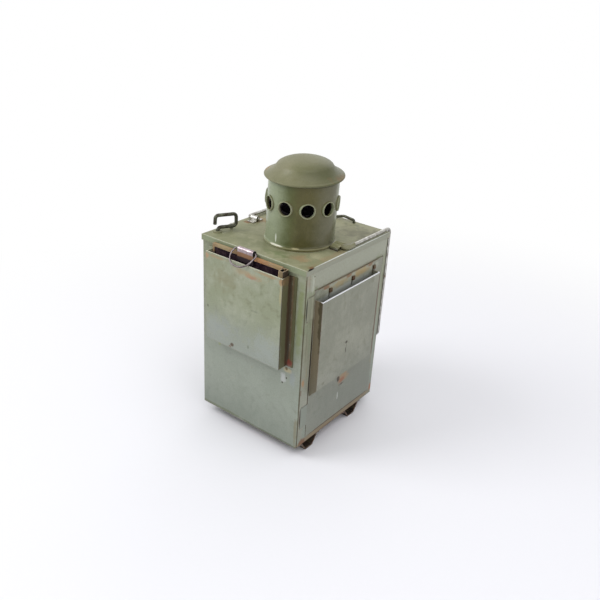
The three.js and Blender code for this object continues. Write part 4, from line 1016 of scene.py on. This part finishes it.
sleeve_route = bent([(58.4, bail_pivot, bail_high), (bail_arm, bail_pivot, bail_high),
    (bail_arm, 7, bail_high)], [4])
wire_piece("bail_sleeve_soft", "carrying_bail", "clip_paint", "bail_sleeve", sleeve_route,
    sleeve_radius, (0, 0, 1), sides=24)

heading = math.radians(27)
spindle = (-58.4, -57.1)


def on_key(reach, height):
    """A place in the key's upright plane: reach along its heading from the spindle."""
    return (spindle[0] + reach * math.sin(heading), spindle[1] + reach * math.cos(heading), height)


key_high, key_low, key_reach = 217.5, 204.8, 19.6
key_route = bent([on_key(-3.0, 208.5), on_key(-2.4, key_high), on_key(key_reach, key_high),
    on_key(key_reach, key_low), on_key(0, key_low), on_key(0, 66)], [3.4] * 4)
wire_piece("key_wire", "colour_screen", "dark_wire", "turn_key", key_route, key_radius,
    (math.cos(heading), -math.sin(heading), 0), sway=0.1)

loop_line = [(-20, 200), (-20, 202), (1, 201.7), (11, 204.6), (24, 203.2), (24, 200)]
loop_route = bent([(x, 67, z) for x, z in loop_line], [1.4, 8, 8, 2])
wire_piece("back_loop_wire", "case", "dark_wire", "back_loop", loop_route, loop_radius,
    (0, 1, 0), sway=0.1)

ring_tilt = math.radians(42)
ring_half, ring_drop, ring_lean = 14, 18, 0.3


def on_ring(across, drop):
    """A place in the ring's tilted plane: across from its middle, drop from the bar in the tab.
    The bent ring leans to the left by a share of the drop."""
    return (-3 + across - ring_lean * drop, -75.1 - drop * math.cos(ring_tilt),
        200.6 - drop * math.sin(ring_tilt))


ring_route = bent([on_ring(0.2, 0), on_ring(ring_half, 0), on_ring(ring_half, ring_drop),
    on_ring(-ring_half, ring_drop), on_ring(-ring_half, 0), on_ring(-0.2, 0)], [3, 12, 12, 3])
wire_piece("ring_wire", "ring", "ring_steel", "pull_ring", ring_route, ring_radius,
    (0, math.sin(ring_tilt), -math.cos(ring_tilt)), spacing=0.9, sway=0.08)

# %% [markdown]
# ## Channel end, corner fill and ribbed clip
# Beside the slide, the folded channel ends in an open mouth above the pocket's lip. At the corner
# of the roof a strip of sheet closes the notch that the fold leaves. Both are rectangles with
# rounded corners, stacked into walls. The clip over the bail's right leg was pressed with ribs
# across its saddle, so its outline is a hump plus a wave.


# %% Folded pieces with a rounded rectangle as plan
def rounded_ring(low, high, radius, height):
    """Points of a level rectangle between two corners, whose own corners are quarter circles."""
    (x0, y0), (x1, y1) = low, high
    centres = [(x1 - radius, y1 - radius), (x0 + radius, y1 - radius), (x0 + radius, y0 + radius),
        (x1 - radius, y0 + radius)]
    corners = [arc(middle, radius, 90 * k, 90 * k + 90, 5) for k, middle in enumerate(centres)]
    flat = np.concatenate(corners)
    return np.column_stack([flat, np.full(len(flat), float(height))])


def closed(first, *rings):
    """Stacks rings into walls and closes each end at its middle."""
    rings = [first, *rings]
    return np.stack([first.mean(0) + 0 * first, *rings, rings[-1].mean(0) + 0 * first])


mouth_outer = ((41.7, -82.6), (47.2, -73.4))
mouth_inner = ((42.7, -81.6), (46.2, -74.4))
mouth_foot, mouth_top, mouth_floor = 186.0, 196.4, 187.4
bend_outside, bend_inside = 0.9, 0.5
mouth = closed(
    rounded_ring(*mouth_outer, bend_outside, mouth_foot),
    rounded_ring(*mouth_outer, bend_outside, mouth_top),
    rounded_ring(*mouth_inner, bend_inside, mouth_top),
    rounded_ring(*mouth_inner, bend_inside, mouth_floor))
make_piece("channel_mouth", [mouth], "case", "channel_paint", None)

fill_foot, fill_height = 189.6, 4.5
fill_low = rounded_ring((64.0, -70.6), (66.16, -59.4), 0.3, fill_foot)
fill = closed(fill_low, fill_low + (0, 0, fill_height))
make_piece("corner_fill", [fill], "case", "case_paint", None)

clip_half, clip_rise, clip_edge = 8.5, 4.4, roof_top + 0.9
rib_height, rib_spacing, rib_fade = 0.75, 3.6, 1.5
along = np.linspace(-clip_half, clip_half, 69)
hump = clip_edge + clip_rise * np.clip(1 - (along / (clip_half + 0.1)) ** 2, 0, 1) ** 0.7
fade = np.clip((clip_half - np.abs(along)) / rib_fade, 0, 1)
over = np.column_stack([along, hump + rib_height * np.cos(along * 2 * np.pi / rib_spacing) * fade])
under = np.column_stack([along, np.maximum(hump - 1.4, roof_top)])[::-1]
saddle = np.concatenate([over, under]) + (bail_pivot, 0)
clip_across = (49.4, 50, 54, 58.2, 58.8)
clip = closed(*(np.column_stack([np.full(len(saddle), x), saddle]) for x in clip_across))
make_piece("ribbed_clip", [clip], "case", "rib_paint", "bail_clip_right")

# %% [markdown]
# ## Lens
# The lens is a disc of pressed glass whose outer face bulges, held in the left wall by a brass
# ring. Both are turned about the sideways axis, so the profile's height runs out of the wall. The
# radius of the bulge's ball follows from its width w and its rise h: (w^2 + h^2) / 2 h.


# %% Lens and its ring
lens_y, lens_z = -13, 107
lens_radius, lens_edge = 24.0, 2.4
bulge_radius, bulge_rise = 21.7, 5.0
bezel_inner, bezel_outer, bezel_bead = 22.0, 25.8, 2.0


def turned_sideways(profile, seat):
    """Turns (radius, height) round an axis along -x: x = seat - height, y and z on the circle."""
    flat = turned(profile, (0, 0, 0), 72)
    return np.stack([seat - flat[..., 2], flat[..., 0] + lens_y, flat[..., 1] + lens_z], -1)


lens_seat = -half_width + tube_wall + lens_edge
ball = (bulge_radius ** 2 + bulge_rise ** 2) / (2 * bulge_rise)
ball_turn = math.degrees(math.asin((ball - bulge_rise) / ball))
lens_profile = np.concatenate([
    [(0, 0), (lens_radius - 0.4, 0), (lens_radius, 0.4), (lens_radius, lens_edge - 0.4),
     (lens_radius - 0.3, lens_edge)],
    arc((0, lens_edge + bulge_rise - ball), ball, ball_turn, 90, 16)])
lens_profile[-1, 0] = 0
make_piece("lens_glass", [turned_sideways(lens_profile, lens_seat)], "case", "clear_glass", "lens")

bezel_profile = np.concatenate([
    [(bezel_inner, 0), (bezel_outer, 0)], arc((lens_radius, 0.9), bezel_bead, 0, 180, 12)])
make_piece("lens_ring", [turned_sideways(bezel_profile, -half_width)], "case", "burner_brass",
    "lens_bezel", wrap_rows=True)

# %% [markdown]
# ## Floor
# One flat sheet far larger than the view is enough. Near the lantern it is real paper that takes
# the soft shadow, and further out it turns plain white for the rays that see it, so that it meets
# the white world without a line.

# %% Paper floor
floor_half = 6
shadow_middle, shadow_ends = (0.14, 0.05, 0), (0.2, 0.75)
paper = Finish("paper")
fibre = paper.noise(3, 3)
sheet = paper.node("BsdfPrincipled", None, {
    "Base Color": paper.mix(fibre * 0.3, (236, 236, 241), (230, 230, 236)),
    "Roughness": 0.6 + fibre * 0.1,
    "Normal": paper.node("Bump", None, {"Height": fibre, "Distance": 0.00002})})
from_shadow = paper.vector("SUBTRACT", paper.at, shadow_middle)
away = paper.vector("LENGTH", from_shadow, (0, 0, 0), "Value").rising(*shadow_ends)
white = paper.node("Emission", None, {"Color": (1, 1, 1, 1), "Strength": room_white})
mixed = paper.node("MixShader", None, {0: paper.seen_rays() * away, 1: sheet, 2: white})
paper.show(mixed)
floor_mesh = bpy.data.meshes.new("floor")
corners = [(x * floor_half, y * floor_half, 0) for x, y in ((-1, -1), (1, -1), (1, 1), (-1, 1))]
floor_mesh.from_pydata(corners, [], [(0, 1, 2, 3)])
floor_mesh.materials.append(paper.material)
floor = put("floor", floor_mesh)
